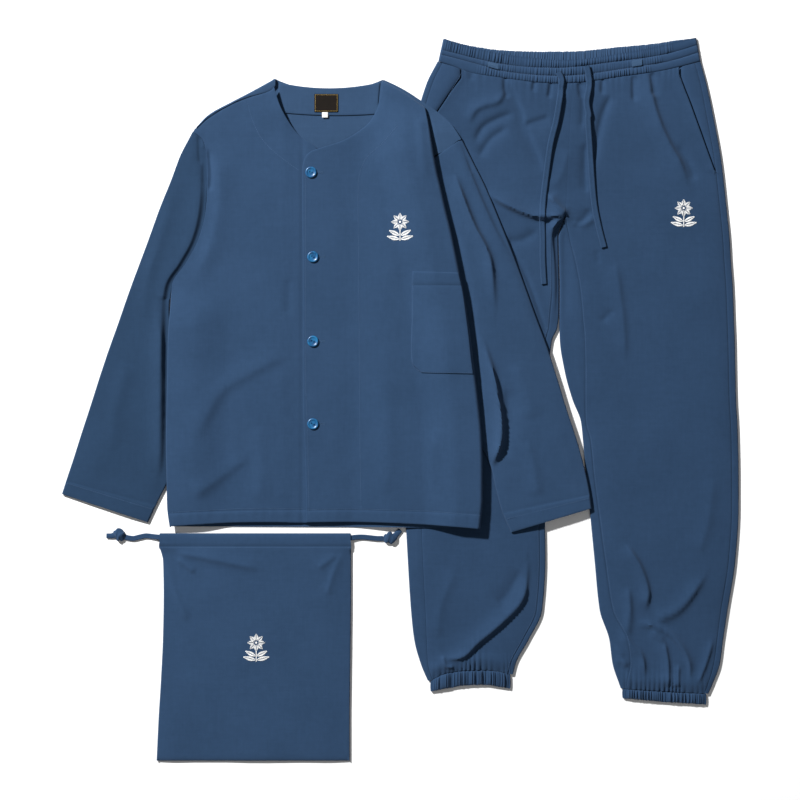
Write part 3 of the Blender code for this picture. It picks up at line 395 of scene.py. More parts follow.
BODY_STROKES = (
    Stroke(((-322, -150), (-282, -122), (-236, -86)), 1.5, 16, 8, 1.8),
    Stroke(((-318, -66), (-282, 8), (-230, 44), (-176, 72)), 1.5, 18, 9, 1.8),
    Stroke(((-297, 392), (-293, 350), (-296, 322)), -1.9, 4, 4),
    Stroke(((-285, 380), (-279, 320), (-290, 250), (-314, 190)), 1.6, 16, 10, 1.8),
    Stroke(((-172, 190), (-174, 130)), -0.8, 6, 8, 1.8),
    Stroke(((-225, -40), (-214, -100), (-222, -160)), 0.9, 14, 12, 1.8),
    Stroke(((-30, 60), (-18, -60), (-26, -160)), 0.8, 14, 14, 1.8),
    Stroke(((60, -40), (48, -110), (62, -176)), 1.0, 12, 12, 1.8),
    Stroke(((30, 440), (34, 400), (40, 340)), 1.0, 8, 8, 1.8))
SLEEVE_STROKES = (
    Stroke(((-312, 411), (-309, 366)), -2.4, 3.6, 3.6), Stroke(((-304, 396), (-302, 330)), -2.0, 3, 3.6),
    Stroke(((-306, 404), (-303, 340), (-306, 288), (-318, 247), (-336, 213), (-359, 172),
            (-364, 90), (-365, 0), (-366, -70), (-372, -120)), -1.4, 5, 17, 1.6),
    Stroke(((-311, 366), (-310, 330), (-313, 288), (-324, 247), (-343, 212), (-366, 172),
            (-371, 90), (-372, 0), (-373, -70), (-376, -115)), 3.0, 4.5, 15, 1.6),
    Stroke(((-352, 330), (-384, 220), (-400, 120)), 1.3, 12, 16, 1.8),
    Stroke(((-420, 60), (-440, -10), (-446, -80)), 1.0, 12, 14, 1.8),
    Stroke(((84, 352), (98, 313), (115, 270), (133, 236), (142, 205), (147, 138)), 5.0, 3.4, 12),
    Stroke(((70, 330), (82, 270), (94, 214), (105, 160), (114, 90), (122, 20), (128, -50)), -2.6, 7, 8, 1.8),
    Stroke(((129, 92), (142, 50), (151, 10), (157, -28), (157, -60), (151, -82), (140, -104), (122, -130)),
           7.0, 3.0, 10),
    Stroke(((-364, 176), (-369, 90), (-369, 0), (-370, -70), (-373, -120)), 2.8, 4, 12, 1.5),
    Stroke(((166, 20), (168, -40), (160, -90)), -1.8, 12, 5, 1.8),
    Stroke(((106, 372), (112, 352)), -1.4, 4, 4),
    Stroke(((84, 421), (113, 342), (147, 265), (190, 186), (231, 62)), 3.2, 3.0, 13),
    Stroke(((196, -60), (208, -110), (214, -150)), 1.3, 9, 12, 1.8),
    Stroke(((178, 60), (196, 10), (204, -30)), 1.0, 12, 12, 1.8))
POUCH_STROKES = (
    Stroke(((-352, -236), (-284, -249), (-216, -263)), 1.8, 12, 5),
    Stroke(((-362, -252), (-348, -298), (-328, -344)), 1.4, 5, 9),
    Stroke(((-88, -234), (-104, -270), (-114, -304)), 1.5, 7, 4),
    Stroke(((-346, -246), (-318, -268)), 1.5, 5, 3),
    Stroke(((-98, -240), (-128, -262)), 1.2, 4, 6),
    Stroke(((-340, -420), (-300, -470), (-286, -530)), 0.7, 14, 14, 1.8))
CLOTH_WAVES = (Unevenness(3, 74.0, 0.9), Unevenness(5, 31.0, 0.32), Unevenness(7, 13.0, 0.06))
FOLD_DEPTH = 1.5       # how far the folds are deepened, as the low light calls for


# Heights of the laid cloth

class Heights:
    """Heights of every layer of the set."""

    SOFT = 45.0
    LEG_EDGE, LEG_MID, CROTCH = 4.0, 6.0, 291.0
    PLATEAU, PLATEAU_RAMP = 6.5, 80.0
    BODY_EDGE, BODY_MID, UNDERARM = 4.0, 6.0, 185.0
    SLEEVE_EDGE, SLEEVE_MID = 3.8, 5.5
    RIGHT_LIFT, LEFT_LIFT, LEFT_FOLD_LIFT = 6.0, 5.5, 10.5
    POUCH_EDGE, POUCH_MID, CASING_TOP, CASING_SEAM = 3.8, 5.0, 6.0, -227.0

    def __init__(self) -> None:
        """Read the tables' curves once."""
        self.legs = {side: {name: table.curve("y", name) for name in ("outer", "outseam", "inseam", "inner")}
                     for side, table in (("left", LEFT_LEG), ("right", RIGHT_LEG))}
        self.centre = CENTRE_SEAM.curve("y", "x")
        self.waist = {name: WAIST.curve("x", name) for name in WAIST.names if name != "x"}
        self.cuffs = {"left": LEFT_CUFF, "right": RIGHT_CUFF}
        self.body_right = RIGHT_FRONT.curve("outer_y", "outer_x")
        self.body_left = LEFT_FRONT.curve("outer_y", "outer_x")
        self.pouch_left = POUCH.curve("y", "left")
        self.pouch_right = POUCH.curve("y", "right")

    def rise(self, distance: Array, edge: float) -> Array:
        """Share of its full height that a panel has at a distance from its fold."""
        return 1.0 - (1.0 - np.clip((distance - edge / 2) / self.SOFT, 0, 1)) ** 2

    def waves(self, x: Array, y: Array, share: Array = 1.0) -> Array:
        """Gentle unevenness of the cloth."""
        return share * sum(wave.at(x, y) for wave in CLOTH_WAVES)

    def gathered(self, x: Array, down: Array, pitch: float, depth: float, reach: float) -> Array:
        """Small pleats that fade with the distance from a gathered seam.

        Args:
            x: places along the seam.
            down: distance from the seam.
            pitch: width of a pleat.
            depth: its height at the seam.
            reach: distance over which it fades.

        Returns:
            The heights.
        """
        wander = Unevenness(11, 23.0, 0.8).at(x, down * 0.2)
        uneven = 0.75 + Unevenness(13, 17.0, 0.5).at(x, down * 0)
        fade = np.exp(-np.maximum(down, 0) / (reach * np.clip(uneven, 0.3, 2)))
        return depth * uneven * fade * (2 * np.abs(np.sin(np.pi * (x / pitch + wander))) ** 0.7 - 1.2)

    def trousers(self, x: Array, y: Array) -> Array:
        """Upper face of the trousers.

        Args:
            x: places across.
            y: places up.

        Returns:
            The heights.
        """
        left, right = self.legs["left"], self.legs["right"]
        on_left = x > (left["inner"](y) + right["inner"](y)) / 2
        outer = np.where(on_left, left["outer"](y), right["outer"](y))
        inner = np.where(on_left, left["inner"](y), right["inner"](y))
        foot = np.where(on_left, LEFT_CUFF.curve("x", "top")(x), RIGHT_CUFF.curve("x", "top")(x))
        crotch = step((self.CROTCH - y) / 40.0)
        share = self.rise(np.abs(x - outer), self.LEG_EDGE)
        share = share * mix(1.0, self.rise(np.abs(x - inner), self.LEG_EDGE), crotch)
        folds = FOLD_DEPTH * sum(stroke.at(x, y) for stroke in TROUSER_STROKES)
        covered = step((self.body_left(y) + 40 - x) / 30.0) * step((y + 215) / 15.0) * step((455 - y) / 15.0)
        covered = np.maximum(covered, self.under_sleeve(x, y))
        above = y - foot
        detail = folds + self.waves(x, y) + 2.2 * np.exp(-((above - 15.0) / 11.0) ** 2)
        detail = detail + self.gathered(x, above, 7.2, 1.9, 17.0) - 1.2 * np.exp(-above / 4.0)
        below = self.waist["seam"](x) - y
        detail = detail + self.gathered(x, below, 9.4, 0.6, 15.0) - 0.8 * np.exp(-np.maximum(below, 0) / 3.0)
        flat = mix(self.LEG_EDGE, self.LEG_MID, share)
        return softly_above(flat + np.minimum(1, share * 1.6) * detail * (1 - covered), LOWEST)

    def under_sleeve(self, x: Array, y: Array) -> Array:
        """Share by which the left sleeve covers the trousers."""
        edge = LEFT_SLEEVE.curve("outer_y", "outer_x")(y)
        return step((edge + 6 - x) / 12.0) * step((y + 200) / 12.0) * step((410 - y) / 12.0)

    def plateau(self, x: Array, y: Array) -> Array:
        """What the shirt lies on: the floor, then the trousers' right leg."""
        edge = self.legs["right"]["outer"](y)
        return self.PLATEAU * step((x - edge + 10.0 + self.PLATEAU_RAMP) / self.PLATEAU_RAMP)

    def over_right(self, x: Array, y: Array) -> Array:
        """Rise of the body over the right sleeve."""
        near = step((self.body_right(y) + 100.0 - x) / 60.0)
        return self.RIGHT_LIFT * near * step((self.UNDERARM - y) / 75.0)

    def back_base(self, x: Array, y: Array) -> Array:
        """Underside of the shirt's back.

        Args:
            x: places across.
            y: places up.

        Returns:
            The heights.
        """
        near_fold = step((x - self.body_left(y) + 95.0) / 60.0)
        shoulder = 4.2 * step((x - self.body_left(y) + 4) / 12.0)
        shoulder = shoulder * step((450 - y) / 40.0) * step((y - 345) / 25.0)
        return (self.plateau(x, y) + self.over_right(x, y)
                + self.LEFT_LIFT * near_fold * step((372.0 - y) / 42.0) + shoulder)

    def front(self, x: Array, y: Array) -> Array:
        """Upper face of the shirt's fronts.

        Args:
            x: places across.
            y: places up.

        Returns:
            The heights.
        """
        right = self.body_right(y)
        base = self.plateau(x, y) + self.over_right(x, y)
        near = step((x - self.body_left(y) + 95.0) / 60.0)
        base = base + self.LEFT_FOLD_LIFT * near * step((470.0 - y) / 90.0)
        height = mix(self.BODY_EDGE, self.BODY_MID, self.rise(x - right, self.BODY_EDGE))
        height = np.where(y < self.UNDERARM + 40, height, self.BODY_MID)
        side = step((y - self.UNDERARM + 10.0) / 50.0)
        above = mix(self.BODY_MID - 1.0, self.BODY_MID, self.rise(x - right, self.BODY_EDGE))
        height = mix(height, above, side)
        calm = mix(1.0, 0.35, np.exp(-((x + 136.0) / 24.0) ** 2))
        folds = FOLD_DEPTH * sum(stroke.at(x, y) for stroke in BODY_STROKES)
        return base + height + folds + self.waves(x, y, calm)

    def over_placket(self, x: Array, y: Array) -> Array:
        """Rise of the left front over the right one at the buttoned edge."""
        return (1.0 - step((x + 110.0) / 50.0)) * step((430.0 - y) / 40.0)

    def under_placket(self, x: Array, y: Array) -> Array:
        """Drop of the right front beneath the left one."""
        dip = step((x + 185.0) / 25.0) + 0.9 * np.exp(-((x + 151.5) / 3.2) ** 2)
        return -dip * step((430.0 - y) / 40.0)

    def left_front(self, x: Array, y: Array) -> Array:
        """Upper face of the left front, over the right one."""
        return self.front(x, y) + self.over_placket(x, y)

    def right_front(self, x: Array, y: Array) -> Array:
        """Upper face of the right front, beneath the left one."""
        return self.front(x, y) + self.under_placket(x, y)

    def neck_inside(self, x: Array, y: Array) -> Array:
        """Inner face of the back at the neck."""
        return self.back_base(x, y) + WALL + 0.2

    def on_facing(self, x: Array, y: Array) -> Array:
        """Upper face of the neck facing."""
        return self.back_base(x, y) + 3.0

    def floor(self, x: Array, y: Array) -> Array:
        """Height of the floor."""
        return 0.0 * np.asarray(x, float)

    def sleeve_base(self, side: str) -> Height:
        """What a sleeve lies on."""
        return self.plateau if side == "left" else self.floor

    def pouch(self, x: Array, y: Array) -> Array:
        """Upper face of the pouch.

        Args:
            x: places across.
            y: places up.

        Returns:
            The heights.
        """
        left, right = self.pouch_left(y), self.pouch_right(y)
        share = np.minimum(self.rise(x - left, self.POUCH_EDGE), self.rise(right - x, self.POUCH_EDGE))
        folds = FOLD_DEPTH * sum(stroke.at(x, y) for stroke in POUCH_STROKES)
        height = mix(self.POUCH_EDGE, self.POUCH_MID, share)
        height = height + self.waves(x + 300, y, 0.8 * share) + folds * share
        casing = step((y - self.CASING_SEAM + 14.0) / 18.0)
        height = mix(height, self.CASING_TOP + self.waves(x, y, 0.5), casing)
        groove = -0.7 * np.exp(-((y - self.CASING_SEAM) / 2.2) ** 2)
        roll = -1.6 * np.exp(-np.maximum(-207.0 - y, 0) / 2.0) - 1.8 * np.exp(-np.maximum(y + 560, 0) / 2.0)
        return height + groove + roll


# Meshes

@dataclass
class Section:
    """One row of a shell: outer points and the inner points behind them."""

    outer: list[Array] = field(default_factory=list)
    inner: list[Array] = field(default_factory=list)

    def lay(self, x: Array, y: Array, z: Array, wall: float) -> None:
        """Add points of a layer and of its inner face.

        Args:
            x: places across.
            y: places up.
            z: heights.
            wall: height of the inner face over them.
        """
        x, y, z = np.broadcast_arrays(np.asarray(x, float), y, z)
        self.outer.append(np.stack([x, y, z], -1).reshape(-1, 3))
        self.inner.append(np.stack([x, y, z + wall], -1).reshape(-1, 3))

    def top(self, x: Array, y: Array, z: Array) -> None:
        """Add points of an upper layer, with the wall below them."""
        self.lay(x, y, z, -WALL)

    def low(self, x: Array, y: Array, z: Array) -> None:
        """Add points of a lower layer, with the wall above them."""
        self.lay(x, y, z, WALL)

    def fold(self, start: Sequence[float], towards: Sequence[float], radius: float, base: float,
             angles: Sequence[float]) -> None:
        """Add a rounded fold.

        Args:
            start: outermost point of the fold, from above.
            towards: a point that the cloth runs to from it.
            radius: radius of the fold.
            base: height of its lowest point.
            angles: degrees above level of its points.
        """
        a, b = np.array(start, float), np.array(towards, float)
        way = (b - a) / np.linalg.norm(b - a)
        for angle in angles:
            turn = math.radians(angle)
            for store, reach in ((self.outer, radius), (self.inner, radius - WALL)):
                x, y = a + way * (radius - reach * math.cos(turn))
                store.append(np.array([[x, y, base + radius + reach * math.sin(turn)]]))


UPWARD = (-75, -45, -15, 15, 45, 75)
DOWNWARD = tuple(reversed(UPWARD))


def shell(name: str, sections: Sequence[Section]) -> bpy.types.Object:
    """Close rows of sections into one walled mesh.

    Args:
        name: the object's name.
        sections: the rows, each with as many points.

    Returns:
        The object, shaded smooth but for its cut edges.
    """
    outer = np.array([np.concatenate(section.outer) for section in sections])
    inner = np.array([np.concatenate(section.inner) for section in sections])
    rows, cols = outer.shape[:2]
    points = np.concatenate([outer.reshape(-1, 3), inner.reshape(-1, 3)]) * MM
    index = np.arange(rows * cols).reshape(rows, cols)
    other = index + rows * cols
    a, b, c, d = index[:-1, :-1], index[1:, :-1], index[1:, 1:], index[:-1, 1:]
    e, f, g, h = other[:-1, :-1], other[1:, :-1], other[1:, 1:], other[:-1, 1:]
    faces = [np.stack([a, b, c, d], -1).reshape(-1, 4), np.stack([e, h, g, f], -1).reshape(-1, 4)]
    for j, flip in ((0, False), (cols - 1, True)):
        quad = [index[:-1, j], other[:-1, j], other[1:, j], index[1:, j]]
        faces.append(np.stack(quad[::-1] if flip else quad, -1))
    for i, flip in ((0, True), (rows - 1, False)):
        quad = [index[i, :-1], other[i, :-1], other[i, 1:], index[i, 1:]]
        faces.append(np.stack(quad[::-1] if flip else quad, -1))
    faces = np.concatenate(faces)
    tri = points[faces[:, :3]]
    rest = points[faces[:, [0, 2, 3]]]
    volume = sum(np.einsum("ij,ij->i", t[:, 0], np.cross(t[:, 1], t[:, 2])).sum() for t in (tri, rest))
    if volume < 0:
        faces = faces[:, ::-1]
    return mesh_object(name, points, faces)


def mesh_object(name: str, points: Array, faces: Array) -> bpy.types.Object:
    """Make an object from points and faces of one size.

    Args:
        name: the object's name.
        points: points in metres.
        faces: corner numbers, a row for each face.

    Returns:
        The linked object.
    """
    mesh = bpy.data.meshes.new(name)
    count, size = faces.shape
    mesh.vertices.add(len(points))
    mesh.vertices.foreach_set("co", points.astype(np.float32).ravel())
    mesh.loops.add(count * size)
    mesh.loops.foreach_set("vertex_index", faces.astype(np.int32).ravel())
    mesh.polygons.add(count)
    mesh.polygons.foreach_set("loop_start", np.arange(0, count * size, size, dtype=np.int32))
    mesh.update(calc_edges=True)
    mesh.validate()
    mesh.shade_smooth()
    mesh.set_sharp_from_angle(angle=math.radians(62))
    made = bpy.data.objects.new(name, mesh)
    bpy.context.scene.collection.objects.link(made)
    return made


def shares(length: float, near: Sequence[float] = (0, 0.7, 1.8, 3.4), far: Sequence[float] | None = None,
           pitch: float = PITCH) -> Array:
    """Places from 0 to 1 along a length, closer together at its ends.

    Args:
        length: the length.
        near: distances of the first places from the start.
        far: the same from the end, or None for the start's.
        pitch: spacing in between.

    Returns:
        The shares of the length.
    """
    far = near if far is None else far
    start, stop = near[-1], length - far[-1]
    middle = np.linspace(start, stop, max(3, int(round((stop - start) / pitch)) + 1))
    return np.concatenate([near[:-1], middle, length - np.array(far[:-1])[::-1]]) / length


def softly_above(height: Array, floor: float) -> Array:
    """Heights that level out towards a floor."""
    return 0.5 * (height + floor + np.sqrt((height - floor) ** 2 + 0.5))


def route_through(points: Sequence[Sequence[float]], per_span: int) -> Array:
    """Smooth curve through given points.

    Args:
        points: the points.
        per_span: how many points the curve has for each of them.

    Returns:
        The curve's points.
    """
    values = np.array(points, float)
    t = np.linspace(0, len(values) - 1, per_span * (len(values) - 1) + 1)
    keys = np.arange(len(values))
    return np.stack([smooth_line(keys, values[:, k], t) for k in range(values.shape[1])], 1)


# Finishes

class Nodes:
    """Short calls for building a node tree."""

    def __init__(self, tree: bpy.types.NodeTree) -> None:
        """Keep the tree."""
        self.tree = tree

    def add(self, kind: str, **values: object) -> bpy.types.Node:
        """Add a node and set its properties.

        Args:
            kind: the node's type.
            values: its properties.

        Returns:
            The node.
        """
        node = self.tree.nodes.new(kind)
        for key, value in values.items():
            setattr(node, key, value)
        return node

    def link(self, start: bpy.types.NodeSocket, end: bpy.types.NodeSocket) -> None:
        """Join two sockets."""
        self.tree.links.new(start, end)

    def math(self, operation: str, a: object, b: object = None) -> bpy.types.NodeSocket:
        """Add a Math node.

        Args:
            operation: what it does.
            a: first socket or number.
            b: second socket or number.

        Returns:
            Its output.
        """
        node = self.add("ShaderNodeMath", operation=operation)
        for socket, value in zip(node.inputs, (a, b)):
            if isinstance(value, bpy.types.NodeSocket):
                self.link(value, socket)
            elif value is not None:
                socket.default_value = value
        return node.outputs[0]


def weave_group() -> bpy.types.NodeTree:
    """Shader group for brushed cotton: crossing yarns, slubs and a soft nap.

    Returns:
        The group, with Yarn, Slub and Nap sizes in, and Tone and Height out.
    """
    tree = bpy.data.node_groups.new("brushed_weave", "ShaderNodeTree")
    for name, kind, default in (("Vector", "NodeSocketVector", None), ("Yarn", "NodeSocketFloat", 900.0),
                                ("Slub", "NodeSocketFloat", 0.4), ("Nap", "NodeSocketFloat", 0.5)):
        socket = tree.interface.new_socket(name=name, in_out="INPUT", socket_type=kind)
        if default is not None:
            socket.default_value = default
    for name in ("Tone", "Height"):
        tree.interface.new_socket(name=name, in_out="OUTPUT", socket_type="NodeSocketFloat")
    nodes = Nodes(tree)
    inputs, outputs = nodes.add("NodeGroupInput"), nodes.add("NodeGroupOutput")
    split = nodes.add("ShaderNodeSeparateXYZ")
    nodes.link(inputs.outputs["Vector"], split.inputs[0])

    def threads(along: object) -> bpy.types.NodeSocket:
        """Rows of yarn across one direction."""
        return nodes.math("SINE", nodes.math("MULTIPLY", along, inputs.outputs["Yarn"]))

    def noise(scale: float, detail: float, stretch: tuple[float, float, float]) -> bpy.types.NodeSocket:
        """Noise on stretched coordinates.

        Args:
            scale: its scale.
            detail: its octaves.
            stretch: scale along each axis.

        Returns:
            The noise's value.
        """
        mapping = nodes.add("ShaderNodeMapping")
        mapping.inputs["Scale"].default_value = stretch
        nodes.link(inputs.outputs["Vector"], mapping.inputs["Vector"])
        texture = nodes.add("ShaderNodeTexNoise")
        texture.inputs["Scale"].default_value = scale
        texture.inputs["Detail"].default_value = detail
        texture.inputs["Roughness"].default_value = 0.6
        nodes.link(mapping.outputs[0], texture.inputs["Vector"])
        return texture.outputs["Fac"]

    crossing = nodes.math("MULTIPLY", threads(split.outputs["X"]), threads(split.outputs["Y"]))
    warp = noise(420.0, 2.0, (1.0, 0.06, 1.0))
    weft = noise(420.0, 2.0, (0.06, 1.0, 1.0))
    slub = nodes.math("MULTIPLY", nodes.math("SUBTRACT", nodes.math("ADD", warp, weft), 1.0),
                      inputs.outputs["Slub"])
    nap = nodes.math("MULTIPLY", nodes.math("SUBTRACT", noise(130.0, 4.0, (1, 1, 1)), 0.5),
                     inputs.outputs["Nap"])
    cloud = nodes.math("MULTIPLY", nodes.math("SUBTRACT", noise(9.0, 3.0, (1, 1, 1)), 0.5), 0.6)
    tone = nodes.math("ADD", nodes.math("ADD", slub, nap), nodes.math("ADD", cloud, 0.5))
    height = nodes.math("ADD", nodes.math("MULTIPLY", crossing, 0.35), nodes.math("ADD", slub, nap))
    nodes.link(tone, outputs.inputs["Tone"])
    nodes.link(height, outputs.inputs["Height"])
    return tree


@dataclass(frozen=True)
class ClothFinish:
    """Brushed cotton, or another woven finish."""

    name: str
    dark: tuple[float, float, float]
    light: tuple[float, float, float]
    roughness: float = 0.88
    sheen: float = 0.12
    yarn: float = 4200.0
    slub: float = 0.28
    nap: float = 0.42
    bump: float = 0.2
    specular: float = 0.25

    def build(self, weave: bpy.types.NodeTree) -> bpy.types.Material:
        """Make the material.

        Args:
            weave: the shared weave group.

        Returns:
            The material.
        """
        material = bpy.data.materials.new(self.name)
        material.use_nodes = True
        nodes = Nodes(material.node_tree)
        shader = material.node_tree.nodes["Principled BSDF"]
        place = nodes.add("ShaderNodeTexCoord")
        group = nodes.add("ShaderNodeGroup", node_tree=weave)
        group.inputs["Yarn"].default_value = self.yarn
        group.inputs["Slub"].default_value = self.slub
        group.inputs["Nap"].default_value = self.nap
        nodes.link(place.outputs["Object"], group.inputs["Vector"])
        blend = nodes.add("ShaderNodeMix", data_type="RGBA")
        blend.inputs[6].default_value = (*self.dark, 1.0)
        blend.inputs[7].default_value = (*self.light, 1.0)
        nodes.link(group.outputs["Tone"], blend.inputs[0])
        nodes.link(blend.outputs[2], shader.inputs["Base Color"])
        bump = nodes.add("ShaderNodeBump")
        bump.inputs["Strength"].default_value = self.bump
        bump.inputs["Distance"].default_value = 0.0006
        nodes.link(group.outputs["Height"], bump.inputs["Height"])
        nodes.link(bump.outputs[0], shader.inputs["Normal"])
        shader.inputs["Roughness"].default_value = self.roughness
        shader.inputs["Sheen Weight"].default_value = self.sheen
        shader.inputs["Sheen Roughness"].default_value = 0.6
        shader.inputs["Sheen Tint"].default_value = (0.55, 0.68, 0.9, 1.0)
        shader.inputs["Specular IOR Level"].default_value = self.specular
        return material


@dataclass(frozen=True)
class ShellFinish:
    """Marbled blue plastic of the buttons."""

    name: str
    dark: tuple[float, float, float]
    light: tuple[float, float, float]
    roughness: float = 0.4

    def build(self) -> bpy.types.Material:
        """Make the material.

        Returns:
            The material.
        """
        material = bpy.data.materials.new(self.name)
        material.use_nodes = True
        nodes = Nodes(material.node_tree)
        shader = material.node_tree.nodes["Principled BSDF"]
        place = nodes.add("ShaderNodeTexCoord")
        cloud = nodes.add("ShaderNodeTexNoise")
        cloud.inputs["Scale"].default_value = 130.0
        cloud.inputs["Detail"].default_value = 4.0
        cloud.inputs["Distortion"].default_value = 1.2
        nodes.link(place.outputs["Object"], cloud.inputs["Vector"])
        ramp = nodes.add("ShaderNodeValToRGB")
        ramp.color_ramp.elements[0].position, ramp.color_ramp.elements[1].position = 0.35, 0.68
        ramp.color_ramp.elements[0].color = (*self.dark, 1.0)
        ramp.color_ramp.elements[1].color = (*self.light, 1.0)
        nodes.link(cloud.outputs["Fac"], ramp.inputs[0])
        nodes.link(ramp.outputs[0], shader.inputs["Base Color"])
        shader.inputs["Roughness"].default_value = self.roughness
        shader.inputs["Coat Weight"].default_value = 0.12
        shader.inputs["Coat Roughness"].default_value = 0.15
        return material


class Finishes:
    """All materials of the set, made once."""

    def __init__(self) -> None:
        """Build each finish."""
        weave = weave_group()
        navy = dict(dark=(0.0065, 0.028, 0.069), light=(0.019, 0.052, 0.117))
        self.cotton = ClothFinish("navy_brushed_cotton", **navy).build(weave)
        self.inside = ClothFinish("navy_cotton_inside",
                                  (0.010, 0.034, 0.078), (0.023, 0.058, 0.126)).build(weave)
        # Darker copy of the navy cotton for the trousers: painted shade for the dimmer light on the legs.
        self.legs = ClothFinish("navy_cotton_legs_painted_shade",
                                (0.0057, 0.0258, 0.0645), (0.0170, 0.0480, 0.1095)).build(weave)
        # Darker copy of the navy cotton for the right sleeve: painted shade for a sleeve that the light reaches
        # less.
        self.turned = ClothFinish("navy_cotton_sleeve_painted_shade",
                                  (0.003, 0.020, 0.052), (0.011, 0.038, 0.088)).build(weave)
        self.cord = ClothFinish("navy_cord", **navy, yarn=5200.0, bump=0.4).build(weave)
        self.thread = ClothFinish("blue_thread", (0.044, 0.094, 0.185), (0.066, 0.126, 0.24), 0.7, 0.1,
                                  bump=0.0).build(weave)
        self.pale = ClothFinish("pale_thread", (0.026, 0.066, 0.136), (0.040, 0.088, 0.172), 0.8, 0.1,
                                bump=0.0).build(weave)
        self.white = ClothFinish("white_embroidery", (0.80, 0.80, 0.79), (0.92, 0.92, 0.91), 0.55, 0.1,
                                 bump=0.0).build(weave)
        self.black = ClothFinish("black_label", (0.008, 0.007, 0.006), (0.016, 0.012, 0.010), 0.9, 0.0,
                                 yarn=6000.0, specular=0.08).build(weave)
        self.gold = ClothFinish("gold_thread", (0.42, 0.27, 0.07), (0.62, 0.44, 0.14), 0.45, 0.0,
                                bump=0.0).build(weave)
        self.tab = ClothFinish("white_tab", (0.62, 0.62, 0.60), (0.80, 0.80, 0.78), 0.7, 0.1,
                               yarn=6000.0).build(weave)
        self.button = ShellFinish("blue_button", (0.002, 0.048, 0.145), (0.010, 0.138, 0.315)).build()


# Stitches

def stitch_tree() -> bpy.types.NodeTree:
    """Geometry Nodes that lay stitches along curves.

    Returns:
        The tree, with the stitch's spacing, length, width and material as inputs.
    """
    tree = bpy.data.node_groups.new("stitches", "GeometryNodeTree")
    tree.interface.new_socket(name="Geometry", in_out="INPUT", socket_type="NodeSocketGeometry")
    for name, default in (("Spacing", 0.003), ("Length", 0.0021), ("Width", 0.0006)):
        socket = tree.interface.new_socket(name=name, in_out="INPUT", socket_type="NodeSocketFloat")
        socket.default_value = default
    tree.interface.new_socket(name="Finish", in_out="INPUT", socket_type="NodeSocketMaterial")
    tree.interface.new_socket(name="Geometry", in_out="OUTPUT", socket_type="NodeSocketGeometry")
    nodes = Nodes(tree)
    inputs, outputs = nodes.add("NodeGroupInput"), nodes.add("NodeGroupOutput")
    points = nodes.add("GeometryNodeCurveToPoints", mode="LENGTH")
    nodes.link(inputs.outputs["Geometry"], points.inputs["Curve"])
    nodes.link(inputs.outputs["Spacing"], points.inputs["Length"])
    turn = nodes.add("FunctionNodeAlignRotationToVector", axis="X")
    nodes.link(points.outputs["Tangent"], turn.inputs["Vector"])
    size = nodes.add("ShaderNodeCombineXYZ")
    for source, axis in (("Length", 0), ("Width", 1), ("Width", 2)):
        nodes.link(inputs.outputs[source], size.inputs[axis])
    bead = nodes.add("GeometryNodeMeshIcoSphere")
    bead.inputs["Radius"].default_value = 0.5
    bead.inputs["Subdivisions"].default_value = 1
    put = nodes.add("GeometryNodeInstanceOnPoints")
    nodes.link(points.outputs["Points"], put.inputs["Points"])
    nodes.link(bead.outputs["Mesh"], put.inputs["Instance"])
    nodes.link(turn.outputs["Rotation"], put.inputs["Rotation"])
    nodes.link(size.outputs[0], put.inputs["Scale"])
    real = nodes.add("GeometryNodeRealizeInstances")
    nodes.link(put.outputs[0], real.inputs[0])
    finish = nodes.add("GeometryNodeSetMaterial")
    nodes.link(real.outputs[0], finish.inputs["Geometry"])
    nodes.link(inputs.outputs["Finish"], finish.inputs["Material"])
    nodes.link(finish.outputs[0], outputs.inputs[0])
    return tree


@dataclass
class Sewing:
    """Rows of stitches, laid on the cloth along routes."""

    tree: bpy.types.NodeTree
    spacing: float = 3.0
    length: float = 2.1
    width: float = 0.55

    def row(self, name: str, routes: Sequence[Array], finish: bpy.types.Material) -> bpy.types.Object:
        """Make one mesh of stitches.

        Args:
            name: the object's name.
            routes: point rows in millimetres.
            finish: the thread's material.

        Returns:
            The object.
        """
        curve = bpy.data.curves.new(name + "_route", "CURVE")
        curve.dimensions = "3D"
        for route in routes:
            spline = curve.splines.new("POLY")
            spline.points.add(len(route) - 1)
            flat = np.concatenate([np.asarray(route) * MM, np.ones((len(route), 1))], 1)
            spline.points.foreach_set("co", flat.ravel())
        guide = bpy.data.objects.new(name + "_route", curve)
        bpy.context.scene.collection.objects.link(guide)
        modifier = guide.modifiers.new("stitches", "NODES")
        modifier.node_group = self.tree
        sizes = {"Spacing": self.spacing * MM, "Length": self.length * MM, "Width": self.width * MM,
                 "Finish": finish}
        for item in self.tree.interface.items_tree:
            if item.in_out == "INPUT" and item.name in sizes:
                modifier[item.identifier] = sizes[item.name]
        mesh = bpy.data.meshes.new_from_object(guide.evaluated_get(bpy.context.evaluated_depsgraph_get()))
        mesh.name = name
        mesh.materials.clear()
        mesh.materials.append(finish)
        bpy.data.objects.remove(guide)
        made = bpy.data.objects.new(name, mesh)
        bpy.context.scene.collection.objects.link(made)
        return made


@dataclass
class Sheet:
    """What a cloth piece was cut to."""

    width: float
    length: float
    area: float
    held: Held = Held.LAID


